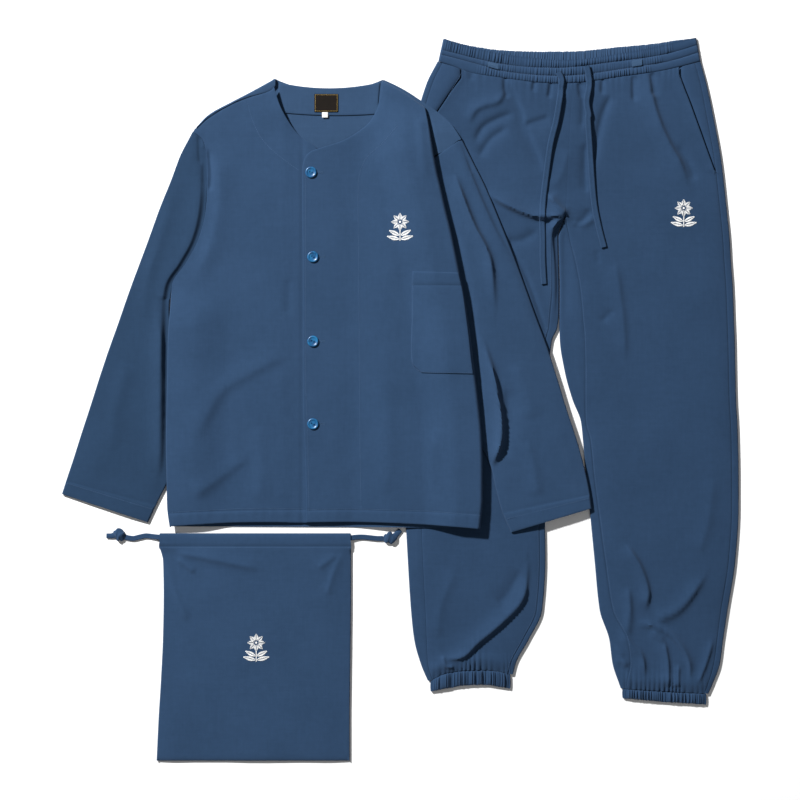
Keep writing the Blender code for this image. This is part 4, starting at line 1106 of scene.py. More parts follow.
class Garment:
    """Shared work of the garments: dressing pieces and riding routes on the cloth."""

    def __init__(self, heights: Heights, finishes: Finishes, stitches: bpy.types.NodeTree) -> None:
        """Keep what every garment uses.

        Args:
            heights: heights of the layers.
            finishes: the materials.
            stitches: the stitch tree.
        """
        self.heights = heights
        self.finishes = finishes
        self.stitches = stitches

    def dress(self, piece: bpy.types.Object, finish: bpy.types.Material, slot: Slot, *nodes: str,
              sheet: Sheet | None = None) -> bpy.types.Object:
        """Give a piece its finish and place in the frame.

        Args:
            piece: the object.
            finish: its material.
            slot: the record's slot, not used.
            nodes: the nodes that it stands for.
            sheet: the cut of a cloth piece, not used.

        Returns:
            The piece.
        """
        if not piece.data.materials:
            piece.data.materials.append(finish)
        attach(piece, "root")
        if nodes:
            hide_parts(*nodes)
        area = sum(polygon.area for polygon in piece.data.polygons) / 2
        LOG.info("%s: %d faces, %.4f square metres", piece.name, len(piece.data.polygons), area)
        return piece

    def on(self, height: Height, points: Sequence[Sequence[float]], lift: float = 0.15,
           pitch: float = 3.0) -> Array:
        """Lay a given route on the cloth.

        Args:
            height: the cloth's upper face.
            points: places of the route.
            lift: height above the cloth.
            pitch: spacing of the route's points.

        Returns:
            Points along the route.
        """
        flat = np.array(points, float)
        long = np.hypot(*np.diff(flat, axis=0).T).sum()
        spans = max(2, int(long / pitch / (len(flat) - 1)))
        route = route_through(flat, spans)
        return np.column_stack([route, height(route[:, 0], route[:, 1]) + lift])


class Trousers(Garment):
    """Gathered trousers: legs, pocket sides, waistband, cuffs and drawcords."""

    LEVEL_TOP, LEVEL_FOOT = 491.0, -424.0
    FOLDS_TOP, FOLDS_FOOT = 110.0, -215.0
    WAIST_FADE = 150.0
    GATHERS, CUFF_GATHERS = 96, 22
    CORD_WIDTH, CORD_THICK = 9.0, 2.4
    LEFT_CORD = ((289, 518), (292, 503), (293, 488), (289, 462), (292, 442), (291, 434), (294, 391),
                 (297, 347), (301, 304), (308, 268), (316, 237))
    RIGHT_CORD = ((245, 508), (250, 497), (249, 484), (248, 471), (242, 434), (237, 414), (232, 391),
                  (227, 353), (222, 312), (220, 282), (221, 250), (221, 217), (223, 180))

    def levels(self) -> Array:
        """The legs' rows, from the waist to the foot.

        Returns:
            The rows' heights, from the top down.
        """
        fine, top, foot = shares(self.LEVEL_TOP - self.FOLDS_TOP, far=(0, 1)), self.FOLDS_TOP, self.FOLDS_FOOT
        coarse = shares(top - foot, (0, 2), (0, 2), 2 * PITCH)
        low = shares(foot - self.LEVEL_FOOT, (0, 1), (0, 0.7, 1.8, 3.4))
        return np.concatenate([mix(self.LEVEL_TOP, top, fine), mix(top, foot, coarse[1:]),
                               mix(foot, self.LEVEL_FOOT, low[1:])])

    def at_level(self, side: str, level: float, x: Array) -> Array:
        """The y of a row: bowed at the waist and over the cuff.

        Args:
            side: left or right, the wearer's.
            level: the row's height before it is bowed.
            x: places across.

        Returns:
            The y at each x.
        """
        waist = self.heights.waist["seam"](x) - self.LEVEL_TOP
        y = level + waist * step((level - self.LEVEL_TOP + self.WAIST_FADE) / self.WAIST_FADE)
        foot = self.heights.cuffs[side].curve("x", "top")(x) + SEAM
        return mix(y, foot, step((self.LEVEL_TOP - level - 740.0) / 175.0))

    def leg_x(self, side: str, column: str, level: float) -> float:
        """The x of a leg's edge or seam on one row.

        Args:
            side: left or right, the wearer's.
            column: the table's column.
            level: the row's height before it is bowed.

        Returns:
            The x.
        """
        def read(y: float) -> float:
            """The table's x at a height.

            Args:
                y: where to read it.

            Returns:
                The x there.
            """
            if y >= Heights.CROTCH and column in ("inner", "inseam"):
                return float(self.heights.centre(y))
            return float(self.heights.legs[side][column](y))

        x = read(level)
        for _ in range(3):
            x = read(float(self.at_level(side, level, x)))
        return x

    def front_leg(self, side: str) -> bpy.types.Object:
        """Front of one leg.

        Args:
            side: left or right, the wearer's.

        Returns:
            The object.
        """
        sign = 1.0 if side == "left" else -1.0
        slant = SLANT.curve("y", side)
        sections = []
        for level in self.levels():
            outseam, inseam = self.leg_x(side, "outseam", level), self.leg_x(side, "inseam", level)
            y_out = float(self.at_level(side, level, outseam))
            opening = step((y_out - 353.0) / 2.0)
            outseam = mix(outseam, float(slant(y_out)) - sign * 0.2, opening)
            t = shares(235.0)
            gap = SEAM / 2 if level < Heights.CROTCH else 0.02
            x = mix(outseam - sign * SEAM / 2, inseam + sign * gap, t)
            y = self.at_level(side, level, x)
            z = self.heights.trousers(x, y)
            from_out, from_in = np.abs(x - x[0]), np.abs(x - x[-1])
            dip = 0.5 if level < Heights.CROTCH else 0.12
            z = z - dip * np.exp(-from_in / 0.9) - (1 - opening) * 0.5 * np.exp(-from_out / 0.9)
            z = z + opening * (1.9 * np.exp(-from_out / 8.0) - 0.7 * np.exp(-from_out / 0.7))
            section = Section()
            section.top(x, y, z)
            sections.append(section)
        return shell(f"trousers_front_{side}_cloth", sections)

    def back_leg(self, side: str) -> bpy.types.Object:
        """Back of one leg, round both folds to the seams on its front.

        Args:
            side: left or right, the wearer's.

        Returns:
            The object.
        """
        radius = Heights.LEG_EDGE / 2
        sections = []
        for level in self.levels():
            outer, inner = self.leg_x(side, "outer", level), self.leg_x(side, "inner", level)
            outseam, inseam = self.leg_x(side, "outseam", level), self.leg_x(side, "inseam", level)
            sign = 1.0 if inner > outer else -1.0

            def y_at(x: Array) -> Array:
                """The y of this row."""
                return self.at_level(side, level, x)

            def upper(x: Array, seam: float) -> None:
                """Add the cloth between a fold and its seam."""
                z = self.heights.trousers(x, y_at(x)) - 0.5 * np.exp(-np.abs(x - seam) / 0.9)
                section.top(x, y_at(x), z)

            section = Section()
            x = mix(outseam - sign * SEAM / 2, outer + sign * radius, np.linspace(0, 1, 6))
            upper(x, x[0])
            ends = (outer, float(y_at(outer))), (inner, float(y_at(inner)))
            section.fold(ends[0], ends[1], radius, 0.0, DOWNWARD)
            x = np.linspace(outer + sign * radius, inner - sign * radius, 24)
            section.low(x, y_at(x), 0.0)
            if level >= Heights.CROTCH:
                x = inner - sign * np.linspace(1.6, SEAM / 2, 18)
                section.low(x, y_at(x), 0.0)
            else:
                section.fold(ends[1], ends[0], radius, 0.0, UPWARD)
                x = mix(inner - sign * radius, inseam + sign * SEAM / 2, np.linspace(0, 1, 12))
                upper(x, x[-1])
            sections.append(section)
        return shell(f"trousers_back_{side}_cloth", sections)

    def pocket_side(self, side: str) -> bpy.types.Object:
        """Panel behind a slanted pocket opening.

        Args:
            side: left or right, the wearer's.

        Returns:
            The object.
        """
        sign = 1.0 if side == "left" else -1.0
        slant = SLANT.curve("y", side)
        sections = []
        for level in [level for level in self.levels() if level > 355.0]:
            outseam = self.leg_x(side, "outseam", level)
            opening = float(slant(self.at_level(side, level, outseam))) + sign * 0.9
            x = mix(opening, outseam - sign * SEAM / 2, shares(28.0, (0, 1.2, 3.0)))
            y = self.at_level(side, level, x)
            from_slant = np.abs(x - x[0])
            z = self.heights.trousers(x, y) - 3.2 * np.exp(-from_slant / 4.0)
            z = z - 0.4 * np.exp(-np.abs(x - x[-1]) / 0.9)
            section = Section()
            section.top(x, y, z)
            sections.append(section)
        return shell(f"pocket_side_{side}_cloth", sections)

    def band_edge(self, y: Array, side: int) -> Array:
        """The x of the waistband's end."""
        return mix(59.0, 67.0, (y - 524.0) / 36.0) if side < 0 else mix(467.0, 460.5, (y - 525.0) / 36.0)

    def pleats(self, t: Array, count: int, seed: int) -> Array:
        """Uneven gathers along a band, from 0 to 1.

        Args:
            t: shares of the band's length.
            count: number of gathers.
            seed: seed of their unevenness.

        Returns:
            The gathers' heights.
        """
        place = (count * t + Unevenness(seed, 0.06, 0.9).at(t, t * 0)
                 + Unevenness(seed + 2, 0.021, 0.28).at(t, t * 0))
        deep = 0.72 + Unevenness(seed + 1, 0.5 / count, 0.42).at(t, t * 0)
        return np.clip(deep, 0.15, 1.1) * np.abs(np.sin(np.pi * place)) ** 0.7

    def waistband_front(self) -> bpy.types.Object:
        """Front of the waistband: three gathered channels, turned down at both ends.

        Returns:
            The object.
        """
        waist = self.heights.waist
        t = np.linspace(0, 1, self.GATHERS * 6 + 1)
        spans = [("front_top", "channel", u) for u in (0, 0.04, 0.12, 0.25, 0.4, 0.55, 0.7, 0.84, 0.94)]
        spans += [("channel", "lower", u) for u in (0, 0.1, 0.25, 0.5, 0.75, 0.9)]
        spans += [("lower", "seam", u) for u in (0, 0.1, 0.25, 0.5, 0.75, 0.9, 1.0)]
        sections = []
        for start, stop, u in spans:
            x = mix(60.0, 466.0, t)
            y = mix(waist[start](x), waist[stop](x), u) + (SEAM / 2 if u == 1.0 else 0.0)
            ends = self.band_edge(y, -1) + 2.6, self.band_edge(y, 1) - 2.6
            x = mix(ends[0], ends[1], t)
            puff = math.sin(math.pi * min(1, max(0, u))) ** 0.55 if 0 < u < 1 else 0.0
            seed, low, high, deep = {"front_top": (21, 60, 428, 1.0), "channel": (27, 118, 415, 0.8),
                                     "lower": (29, 112, 395, 0.9)}[start]
            spread = step((x - low) / 18.0) * step((high - x) / 14.0)
            spread = deep * spread * np.clip(0.75 + Unevenness(seed + 5, 31.0, 0.45).at(x, 0 * x), 0.2, 1.2)
            wave = spread * self.pleats(t, self.GATHERS, seed)
            z = 4.0 + 1.5 * puff + (0.5 + 1.5 * puff) * wave
            if start == "front_top":
                y = y + (0.5 - wave) * 1.2 * (1 - u)
                z = z + (0.5 * wave + 1.3) * math.exp(-u / 0.07)
            section = Section()
            left, right = self.band_edge(y[0], -1), self.band_edge(y[-1], 1)
            for drop, out in ((0.6, 0.9), (1.8, 0.0), (3.0, 0.5)):
                section.outer.append(np.array([[left + out, y[0], drop]]))
                section.inner.append(np.array([[left + out + WALL, y[0], max(0.8, drop - 0.2)]]))
            section.outer.append(np.stack([x, y, z], 1))
            section.inner.append(np.stack([x, y, np.minimum(z - 0.8, 3.2 + 0 * z)], 1))
            for drop, out in ((3.0, 0.5), (1.8, 0.0), (0.6, 0.9)):
                section.outer.append(np.array([[right - out, y[-1], drop]]))
                section.inner.append(np.array([[right - out - WALL, y[-1], max(0.8, drop - 0.2)]]))
            sections.append(section)
        return shell("waistband_front_cloth", sections)

    def waistband_back(self) -> bpy.types.Object:
        """Back of the waistband, whose gathered inside shows above the front's edge.

        Returns:
            The object.
        """
        waist = self.heights.waist
        t = np.linspace(0, 1, self.GATHERS * 6 + 1)
        sections = []
        for u in (0, 0.03, 0.09, 0.18, 0.3, 0.42, 0.6, 0.93):
            x = mix(66.0, 460.0, t)
            wave = self.pleats(t, self.GATHERS, 33)
            y = mix(waist["back_top"](x), waist["seam"](x), u) + (0.5 - wave) * 1.3 * math.exp(-u / 0.06)
            x = mix(self.band_edge(y, -1) + 3.0, self.band_edge(y, 1) - 3.0, t)
            puff = min(1.0, u / 0.12) ** 0.5 * (1.0 if u < 0.5 else 0.3)
            section = Section()
            section.outer.append(np.stack([x, y, 0.0 * x], 1))
            section.inner.append(np.stack([x, y, 1.2 + 0.4 * puff + (0.4 + 1.2 * puff) * wave], 1))
            sections.append(section)
        return shell("waistband_back_cloth", sections)

    def cuff(self, side: str, left: float, right: float) -> bpy.types.Object:
        """Gathered cuff: a flat tube with gathers on its upper face.

        Args:
            side: left or right, the wearer's.
            left: the x of its left end.
            right: the x of its right end.

        Returns:
            The object.
        """
        table = self.heights.cuffs[side]
        top, bottom = table.curve("x", "top"), table.curve("x", "bottom")
        radius = Heights.LEG_EDGE / 2
        t = np.linspace(0, 1, self.CUFF_GATHERS * 12 + 1)
        wave = self.pleats(t, self.CUFF_GATHERS, 41 if side == "left" else 43)
        sections = []
        for u in (0, 0.06, 0.16, 0.32, 0.5, 0.68, 0.84, 0.94, 1.0):
            puff = math.sin(math.pi * u) ** 0.5 if 0 < u < 1 else 0.0
            start, stop = left - puff, right + puff

            def y_at(x: Array) -> Array:
                """The y of this row."""
                return mix(top(x) - SEAM, bottom(x), u)

            section = Section()
            x = np.linspace(stop - radius - 1.0, start + radius, 12)
            section.low(x, y_at(x), 0.0)
            ends = (start, float(y_at(start))), (stop, float(y_at(stop)))
            section.fold(ends[0], ends[1], radius, 0.0, UPWARD)
            x = mix(start + radius, stop - radius, t)
            flat = np.minimum(1, np.minimum(t, 1 - t) * 16)
            y = y_at(x) + (u - 0.5) * 2.2 * (wave - 0.5) * (abs(u - 0.5) * 2) ** 3
            section.top(x, y, 3.6 + flat * (0.8 * puff + (0.9 + 3.0 * puff) * wave))
            section.fold(ends[1], ends[0], radius, 0.0, DOWNWARD)
            section.low([stop - radius], y_at(stop - radius), 0.0)
            sections.append(section)
        return shell(f"trousers_cuff_{side}_cloth", sections)

    def cord_height(self, x: Array, y: Array) -> Array:
        """Height of a drawcord's middle.

        Args:
            x: places across.
            y: places up.

        Returns:
            The heights.
        """
        on_band = step((y - self.heights.waist["seam"](x) + 14.0) / 12.0)
        arch = 3.2 * step((500.0 - y) / 25.0) * step((y - 300.0) / 150.0)
        return mix(self.heights.trousers(x, y) + arch, 7.4, on_band) + 0.9 + self.CORD_THICK / 2

    def sewing(self) -> tuple[list[Array], list[Array]]:
        """Routes of the trousers' stitches: seam stitching and pale anchors.

        Returns:
            The seams' routes and the bar tacks' routes.
        """
        height = self.heights.trousers
        routes = []
        for side, sign in (("left", 1.0), ("right", -1.0)):
            slant = SLANT.curve("y", side)
            ys = np.linspace(512, 352, 40)
            x = slant(ys) - sign * 2.6
            routes.append(np.column_stack([x, ys, height(x, ys) + 0.9]))
            ys = np.linspace(300, -425, 150)
            x = self.heights.legs[side]["inseam"](ys) + sign * 2.2
            keep = (ys < 235)
            routes.append(np.column_stack([x, ys, height(x, ys) + 0.15])[keep])
        waist = self.heights.waist
        x = np.linspace(63, 463, 200)
        for column, off in (("channel", 0.0), ("lower", 0.0), ("seam", 2.0)):
            y = waist[column](x) + off
            routes.append(np.column_stack([x, y, 0 * x + 4.4]))
        anchors = []
        for x0, y0, x1, y1 in ((432, 516, 429, 512), (487, 356, 493, 352), (97, 513, 101, 509)):
            x, y = np.linspace(x0, x1, 6), np.linspace(y0, y1, 6)
            anchors.append(np.column_stack([x, y, height(x, y) + 1.2]))
        return routes, anchors

    def build(self) -> None:
        """Make and dress every piece of the trousers."""
        # The trousers wear the darker copy of the cotton, which is painted shade.
        cotton, cord = self.finishes.legs, self.finishes.cord
        for side in ("left", "right"):
            self.dress(self.front_leg(side), cotton, Slot.COTTON, f"trousers_front_{side}",
                       sheet=Sheet(0.28, 0.99, 0.223) if side == "left" else Sheet(0.27, 0.97, 0.208))
            self.dress(self.back_leg(side), cotton, Slot.COTTON, f"trousers_back_{side}",
                       sheet=Sheet(0.30, 1.00, 0.277) if side == "left" else Sheet(0.29, 0.98, 0.257))
            self.dress(self.pocket_side(side), cotton, Slot.COTTON, f"pocket_side_{side}",
                       sheet=Sheet(0.045, 0.17, 0.0030 if side == "left" else 0.0037))
        self.dress(self.waistband_front(), cotton, Slot.COTTON, "waistband_front",
                   sheet=Sheet(0.48, 0.045, 0.0205, Held.GATHERED))
        self.dress(self.waistband_back(), self.finishes.inside, Slot.COTTON, "waistband_back",
                   sheet=Sheet(0.48, 0.052, 0.0235, Held.GATHERED))
        for side, left, right, long, area in (("left", 346.0, 475.0, 0.020, 0.006),
                                              ("right", 48.0, 171.0, 0.025, 0.0074)):
            self.dress(self.cuff(side, left, right), cotton, Slot.COTTON, f"trousers_cuff_{side}",
                       sheet=Sheet(0.30, long, area, Held.GATHERED))
        for side, points in (("left", self.LEFT_CORD), ("right", self.RIGHT_CORD)):
            made, path = flat_cord(f"drawcord_{side}_cord", points, self.CORD_WIDTH, self.CORD_THICK,
                                   self.cord_height)
            self.dress(made, cord, Slot.CORD, f"drawcord_{side}")
            declare_cord(path, self.CORD_WIDTH)
        routes, anchors = self.sewing()
        sewing = Sewing(self.stitches)
        thread, pale = self.finishes.thread, self.finishes.pale
        self.dress(sewing.row("trousers_stitches", routes, thread), thread, Slot.COTTON)
        waist = self.heights.waist
        rows = []
        for low, high in ((136.5, 153.5), (360.0, 376.0)):
            for x in np.arange(low, high, 1.0):
                y = mix(waist["channel"](x), waist["lower"](x), np.linspace(0.12, 0.94, 5))
                rows.append(np.column_stack([0 * y + x, y, 0 * y + 6.8]))
        self.dress(threads("waistband_anchor_stitches", rows, 1.05, 0.5), pale, Slot.COTTON)
        close = Sewing(self.stitches, 1.1, 1.3, 0.7)
        self.dress(close.row("trousers_bar_tacks", anchors, pale), pale, Slot.COTTON)


def flat_cord(name: str, points: Sequence[Sequence[float]], width: float, thick: float,
              height: Height) -> tuple[bpy.types.Object, Array]:
    """Flat self-fabric cord along a route.

    Args:
        name: the object's name.
        points: given points of the route.
        width: width of the cord.
        thick: its thickness.
        height: height of its middle.

    Returns:
        The object and its path, in millimetres.
    """
    route = route_through(points, 10)
    path = np.column_stack([route, height(route[:, 0], route[:, 1])])
    way = np.gradient(path[:, :2], axis=0)
    way /= np.linalg.norm(way, axis=1)[:, None]
    across = np.column_stack([-way[:, 1], way[:, 0], 0 * way[:, 0]])
    profile = np.array([(-0.5, 0.0), (-0.47, 0.3), (-0.36, 0.46), (-0.2, 0.42), (0.0, 0.36), (0.2, 0.42),
                        (0.36, 0.46), (0.47, 0.3), (0.5, 0.0), (0.47, -0.35), (0.3, -0.5), (-0.3, -0.5),
                        (-0.47, -0.35)])
    rings = (path[:, None, :] + across[:, None, :] * (profile[None, :, :1] * width)
             + np.array([0, 0, 1.0])[None, None, :] * (profile[None, :, 1:] * thick))
    return tube(name, rings), path


def tube(name: str, rings: Array) -> bpy.types.Object:
    """Join rings of points into a closed tube.

    Args:
        name: the object's name.
        rings: points in millimetres, a row for each ring.

    Returns:
        The object.
    """
    index = np.arange(rings.shape[0] * rings.shape[1]).reshape(rings.shape[:2])
    following = np.roll(index, -1, axis=1)
    sides = np.stack([index[:-1], following[:-1], following[1:], index[1:]], -1).reshape(-1, 4)
    made = mesh_object(name, rings.reshape(-1, 3) * MM, sides)
    cap_ends(made)
    return made


def cap_ends(piece: bpy.types.Object) -> None:
    """Close the open ends of a tube and turn its faces outwards.

    Args:
        piece: the object.
    """
    shape = bmesh.new()
    shape.from_mesh(piece.data)
    bmesh.ops.holes_fill(shape, edges=[edge for edge in shape.edges if edge.is_boundary], sides=0)
    bmesh.ops.recalc_face_normals(shape, faces=shape.faces)
    shape.to_mesh(piece.data)
    shape.free()
    piece.data.shade_smooth()
    piece.data.set_sharp_from_angle(angle=math.radians(62))


def declare_cord(path: Array, width: float) -> None:
    """Turn a free cord's middle into metres; the result is not kept.

    Args:
        path: its middle, in millimetres.
        width: its width, not used.
    """
    metres = path * MM
    tuple(metres[0])


class Shirt(Garment):
    """Collarless shirt: back, facing, fronts, sleeves, pocket, buttons and labels."""

    BUTTONS = ((-138, 353), (-135, 222), (-135, 91), (-135, -37))
    POCKET = Table("left_x left_y right_x right_y", (19, 199, 90, 196.5), (18, 165, 97, 165),
                   (18, 130, 102, 130), (17, 95, 106.5, 95), (17, 62, 110, 62), (33, 42, 113, 40))
    FACING = Table("left_x left_y right_x right_y", (-187, 493, -31, 493.5), (-190, 475, -33, 476),
                   (-193, 460, -34, 459), (-192, 447, -30, 444.5))

    def front(self, side: str) -> bpy.types.Object:
        """One front, from its buttoned edge round the side fold.

        Args:
            side: left or right, the wearer's.

        Returns:
            The object.
        """
        table = LEFT_FRONT if side == "left" else RIGHT_FRONT
        placket = self.heights.over_placket if side == "left" else self.heights.under_placket
        fold_from = 460.0 if side == "left" else 170.0
        columns = {name: table.by_row(name) for name in table.names}
        long = np.hypot(np.diff(table.column("inner_x") + table.column("outer_x")),
                        np.diff(table.column("inner_y") + table.column("outer_y"))) / 2
        length = np.concatenate([[0], np.cumsum(long)])
        row_at = Curve(length, np.arange(len(length)))
        start, stop = table.rows[0, :2], table.rows[0, 2:4]
        fine = np.linspace(0, 1, 60)
        seam_line = BACK_TOP.curve("x", "seam")(mix(start[0], stop[0], fine))
        arch = Curve(fine, seam_line - mix(start[1] + 1.0, stop[1], fine))
        hem = (0, 0.7, 1.8, 3.4, 8, 13, 17, 19, 20, 21, 23)
        sections = []
        for along in shares(length[-1], far=hem) * length[-1]:
            v = row_at(along)
            inner = np.array([columns["inner_x"](v), columns["inner_y"](v)])
            outer = np.array([columns["outer_x"](v), columns["outer_y"](v)])
            width = float(np.linalg.norm(outer - inner))
            folded = outer[1] < fold_from
            radius = mix(1.7, 5.4, float(step((454.0 - outer[1]) / 80.0))) if side == "left" else 2.0
            end = width - radius if folded else width - 0.9
            s = shares(245.0) * end
            t = s / width
            x, y = mix(inner[0], outer[0], t), mix(inner[1], outer[1], t)
            if side == "right":
                y = y + arch(t) * columns["bow"](v) / table.column("bow")[0]
            else:
                y = y + 4 * columns["bow"](v) * t * (1 - t)
            z = self.heights.front(x, y) + placket(x, y) - 0.55 * np.exp(-s / 0.8)
            from_hem = length[-1] - along
            z = z - 0.6 * np.exp(-from_hem / 0.8) + 0.45 * step((21.5 - from_hem) / 2.5)
            z = z - 0.5 * np.exp(-((from_hem - 20.0) / 1.6) ** 2)
            z = z + 0.22 * np.cos(x / 3.1 + 2 * np.sin(x / 17)) * np.exp(-((from_hem - 15) / 9) ** 2)
            neck = float(step((inner[1] - 405.0) / 50.0))
            z = z + neck * (6.5 * np.exp(-s / 16.0) if side == "right" else -2.6 * np.exp(-s / 9.0))
            if side == "left":
                z = z - 2.4 * np.exp(-along / 1.6)
            else:
                z = z - 0.5 * np.exp(-along / 0.9)
            section = Section()
            section.top(x, y, z)
            base = z[-1] - 2 * radius
            if folded:
                section.fold(outer, inner, radius, base, DOWNWARD)
                section.low(x[-1:], y[-1:], base)
            else:
                back_off = np.linspace(0.8, 0.0, 7)
                px = outer[0] + (inner[0] - outer[0]) / width * back_off
                py = outer[1] + (inner[1] - outer[1]) / width * back_off
                section.top(px, py, z[-1] - 0.45 * (1 - back_off / 0.9) ** 2)
            sections.append(section)
        return shell(f"shirt_front_{side}_cloth", sections)

    def back(self) -> bpy.types.Object:
        """Back, wrapped over the right shoulder to the seam on the front.

        Returns:
            The object.
        """
        outline, seam_line = BACK_TOP.curve("x", "outline"), BACK_TOP.curve("x", "seam")
        columns = {name: BACK.by_row(name) for name in BACK.names}
        split = (-193.5 + 321.0) / 415.0
        t = np.concatenate([np.linspace(0, split, 48), np.linspace(split + 0.001, 1, 84)])
        radius = 3.0

        head = outline(mix(columns["right_x"](0), columns["left_x"](0), t))
        arch = head - mix(head[0], head[-1], t)

        def row_points(v: float) -> tuple[Array, Array]:
            """Places across the back on one row."""
            x = mix(columns["right_x"](v), columns["left_x"](v), t)
            return x, mix(columns["right_y"](v), columns["left_y"](v), t) + arch * columns["fade"](v)

        x, y = row_points(0.0)
        turned = (t <= split) & (y - seam_line(x) > 1.0)
        low = self.heights.back_base(x, y)
        sections = []
        seam_y = seam_line(x) + SEAM
        for u in np.linspace(0, 1, 6):
            section = Section()
            over = mix(seam_y, np.maximum(y - radius, seam_y), u)
            z = self.heights.front(x, over) - 0.5 * math.exp(-u / 0.12)
            plain_y = y - 0.2 - 0.05 * u
            section.outer.append(np.stack([x, np.where(turned, over, plain_y),
                                           np.where(turned, mix(z, low + 2 * radius, u ** 3), low)], 1))
            wall = np.where(turned, -WALL, WALL)[:, None]
            section.inner.append(section.outer[0] + wall * np.array([[0, 0, 1.0]]))
            sections.append(section)
        for angle in DOWNWARD:
            turn = math.radians(angle)
            pair = []
            for reach in (radius, radius - WALL):
                lift = np.where(turned, radius + reach * math.sin(turn), 0.0 if reach == radius else WALL)
                off = np.where(turned, radius - reach * math.cos(turn), 0.6 + 0.01 * (90 - angle))
                pair.append(np.stack([x, y - off, low + lift], 1))
            sections.append(Section([pair[0]], [pair[1]]))
        for v in np.concatenate([np.linspace(0.12, 4, 60), np.linspace(4.15, 14, 56)]):
            px, py = row_points(v)
            if v < 0.4:
                py = np.minimum(py, y - radius - v)
            section = Section()
            section.low(px, py, self.heights.back_base(px, py))
            sections.append(section)
        return shell("shirt_back_cloth", sections)

    def sleeve(self, side: str) -> bpy.types.Object:
        """One sleeve: a flat tube, open to the armhole above the underarm.

        Args:
            side: left or right, the wearer's.

        Returns:
            The object.
        """
        table = LEFT_SLEEVE if side == "left" else RIGHT_SLEEVE
        base_at = self.heights.sleeve_base(side)
        columns = {name: table.by_row(name) for name in table.names}
        long = np.hypot(np.diff(table.column("outer_x")), np.diff(table.column("outer_y")))
        length = np.concatenate([[0], np.cumsum(long)])
        row_at = Curve(length, np.arange(len(length)))
        edge, mid = Heights.SLEEVE_EDGE, Heights.SLEEVE_MID
        radius = edge / 2
        rise = self.heights.rise
        hem = (0, 0.7, 1.8, 3.4, 8, 13, 17, 19, 20, 21, 23)
        sections = []
        for along in shares(length[-1], far=hem) * length[-1]:
            v = float(row_at(along))
            outer = np.array([columns["outer_x"](v), columns["outer_y"](v)])
            inner = np.array([columns["inner_x"](v), columns["inner_y"](v)])
            closed = float(columns["closed"](v)) > 0.5
            width = float(np.linalg.norm(inner - outer))
            end = width - radius if closed else width

            def place(s: Array) -> tuple[Array, Array]:
                """Places at distances from the outer fold."""
                return mix(outer[0], inner[0], s / width), mix(outer[1], inner[1], s / width)

            section = Section()
            x, y = place(np.linspace(end - (1.0 if closed else 0.0), radius, 14))
            section.low(x, y, base_at(x, y))
            section.fold(outer, inner, radius, float(base_at(*outer)), UPWARD)
            s = radius + shares(165.0, (0, 1.2, 3.0), (0, 0.7, 1.8)) * (end - radius)
            x, y = place(s)
            near = rise(width - s, edge) if closed else mix(0.6, 1.0, rise(width - s, 0.0))
            share = rise(s, edge) * near
            if not closed:
                share = np.maximum(share, 0.7 * step(s / width))
            from_hem = length[-1] - along
            detail = FOLD_DEPTH * sum(stroke.at(x, y) for stroke in SLEEVE_STROKES) + self.heights.waves(x, y)
            lift = mix(edge, mid, share) + np.minimum(1, share * 1.5) * detail
            z = base_at(x, y) + softly_above(lift, LOWEST)
            z = z - 0.6 * np.exp(-from_hem / 0.8) + 0.4 * step((22 - from_hem) / 2.5)
            z = z - 0.5 * np.exp(-((from_hem - 21.0) / 1.6) ** 2) - 0.5 * np.exp(-along / 0.9)
            if not closed:
                z = z - 0.5 * np.exp(-(width - s) / 0.9)
            section.top(x, y, z)
            if closed:
                section.fold(inner, outer, radius, float(base_at(*inner)), DOWNWARD)
                x, y = place(np.array([end]))
                section.low(x, y, base_at(x, y))
            else:
                x, y = place(end - np.linspace(0.06, 0.0, 7))
                section.top(x, y, z[-1])
            sections.append(section)
        return shell(f"shirt_sleeve_{side}_cloth", sections)

    def patch(self, name: str, table: Table, height: Height, wall: float, bow: float = 0.0,
              band: float = 0.0, sag: float = 0.0) -> bpy.types.Object:
        """A piece that lies on a panel: that panel's form, moved out.

        Args:
            name: the object's name.
            table: its rows, from top to bottom.
            height: the panel's upper face.
            wall: its wall.
            bow: sag of its top edge.
            sag: sag of its lower edge.
            band: width of a hem across its top.

        Returns:
            The object.
        """
        columns = {column: table.by_row(column) for column in table.names}
        last = len(table.rows) - 1
        long = float(np.hypot(*(table.rows[-1, :2] - table.rows[0, :2])))
        wide = float(table.rows[1, 2] - table.rows[1, 0])
        sections = []
        hem_rows = (8, 13, band - 2, band - 1, band, band + 1, band + 3)
        near = (0, 0.7, 1.8, 3.4) + (hem_rows if band else ())
        for v in shares(long, near, (0, 0.7, 1.8)):
            row = {column: curve(v * last) for column, curve in columns.items()}
            t = shares(wide, (0, 0.7, 1.8))
            x, y = mix(row["left_x"], row["right_x"], t), mix(row["left_y"], row["right_y"], t)
            y = y - 4 * t * (1 - t) * mix(bow, sag, min(1.0, v * 3))
            lie = height(x, y) + 0.3
            side = np.minimum(t, 1 - t) * wide
            down = v * long
            ends = np.exp(-side / 0.8) + math.exp(-down / 0.8) + math.exp(-(long - down) / 0.8)
            soft = -0.55 * wall * ends
            hem = 0.0
            if band:
                hem = 0.35 * float(step((band - down) / 2.0)) - 0.4 * math.exp(-((down - band) / 1.4) ** 2)
            sections.append(Section([np.stack([x, y, lie + wall + soft + hem], 1)],
                                    [np.stack([x, y, lie], 1)]))
        return shell(name, sections)

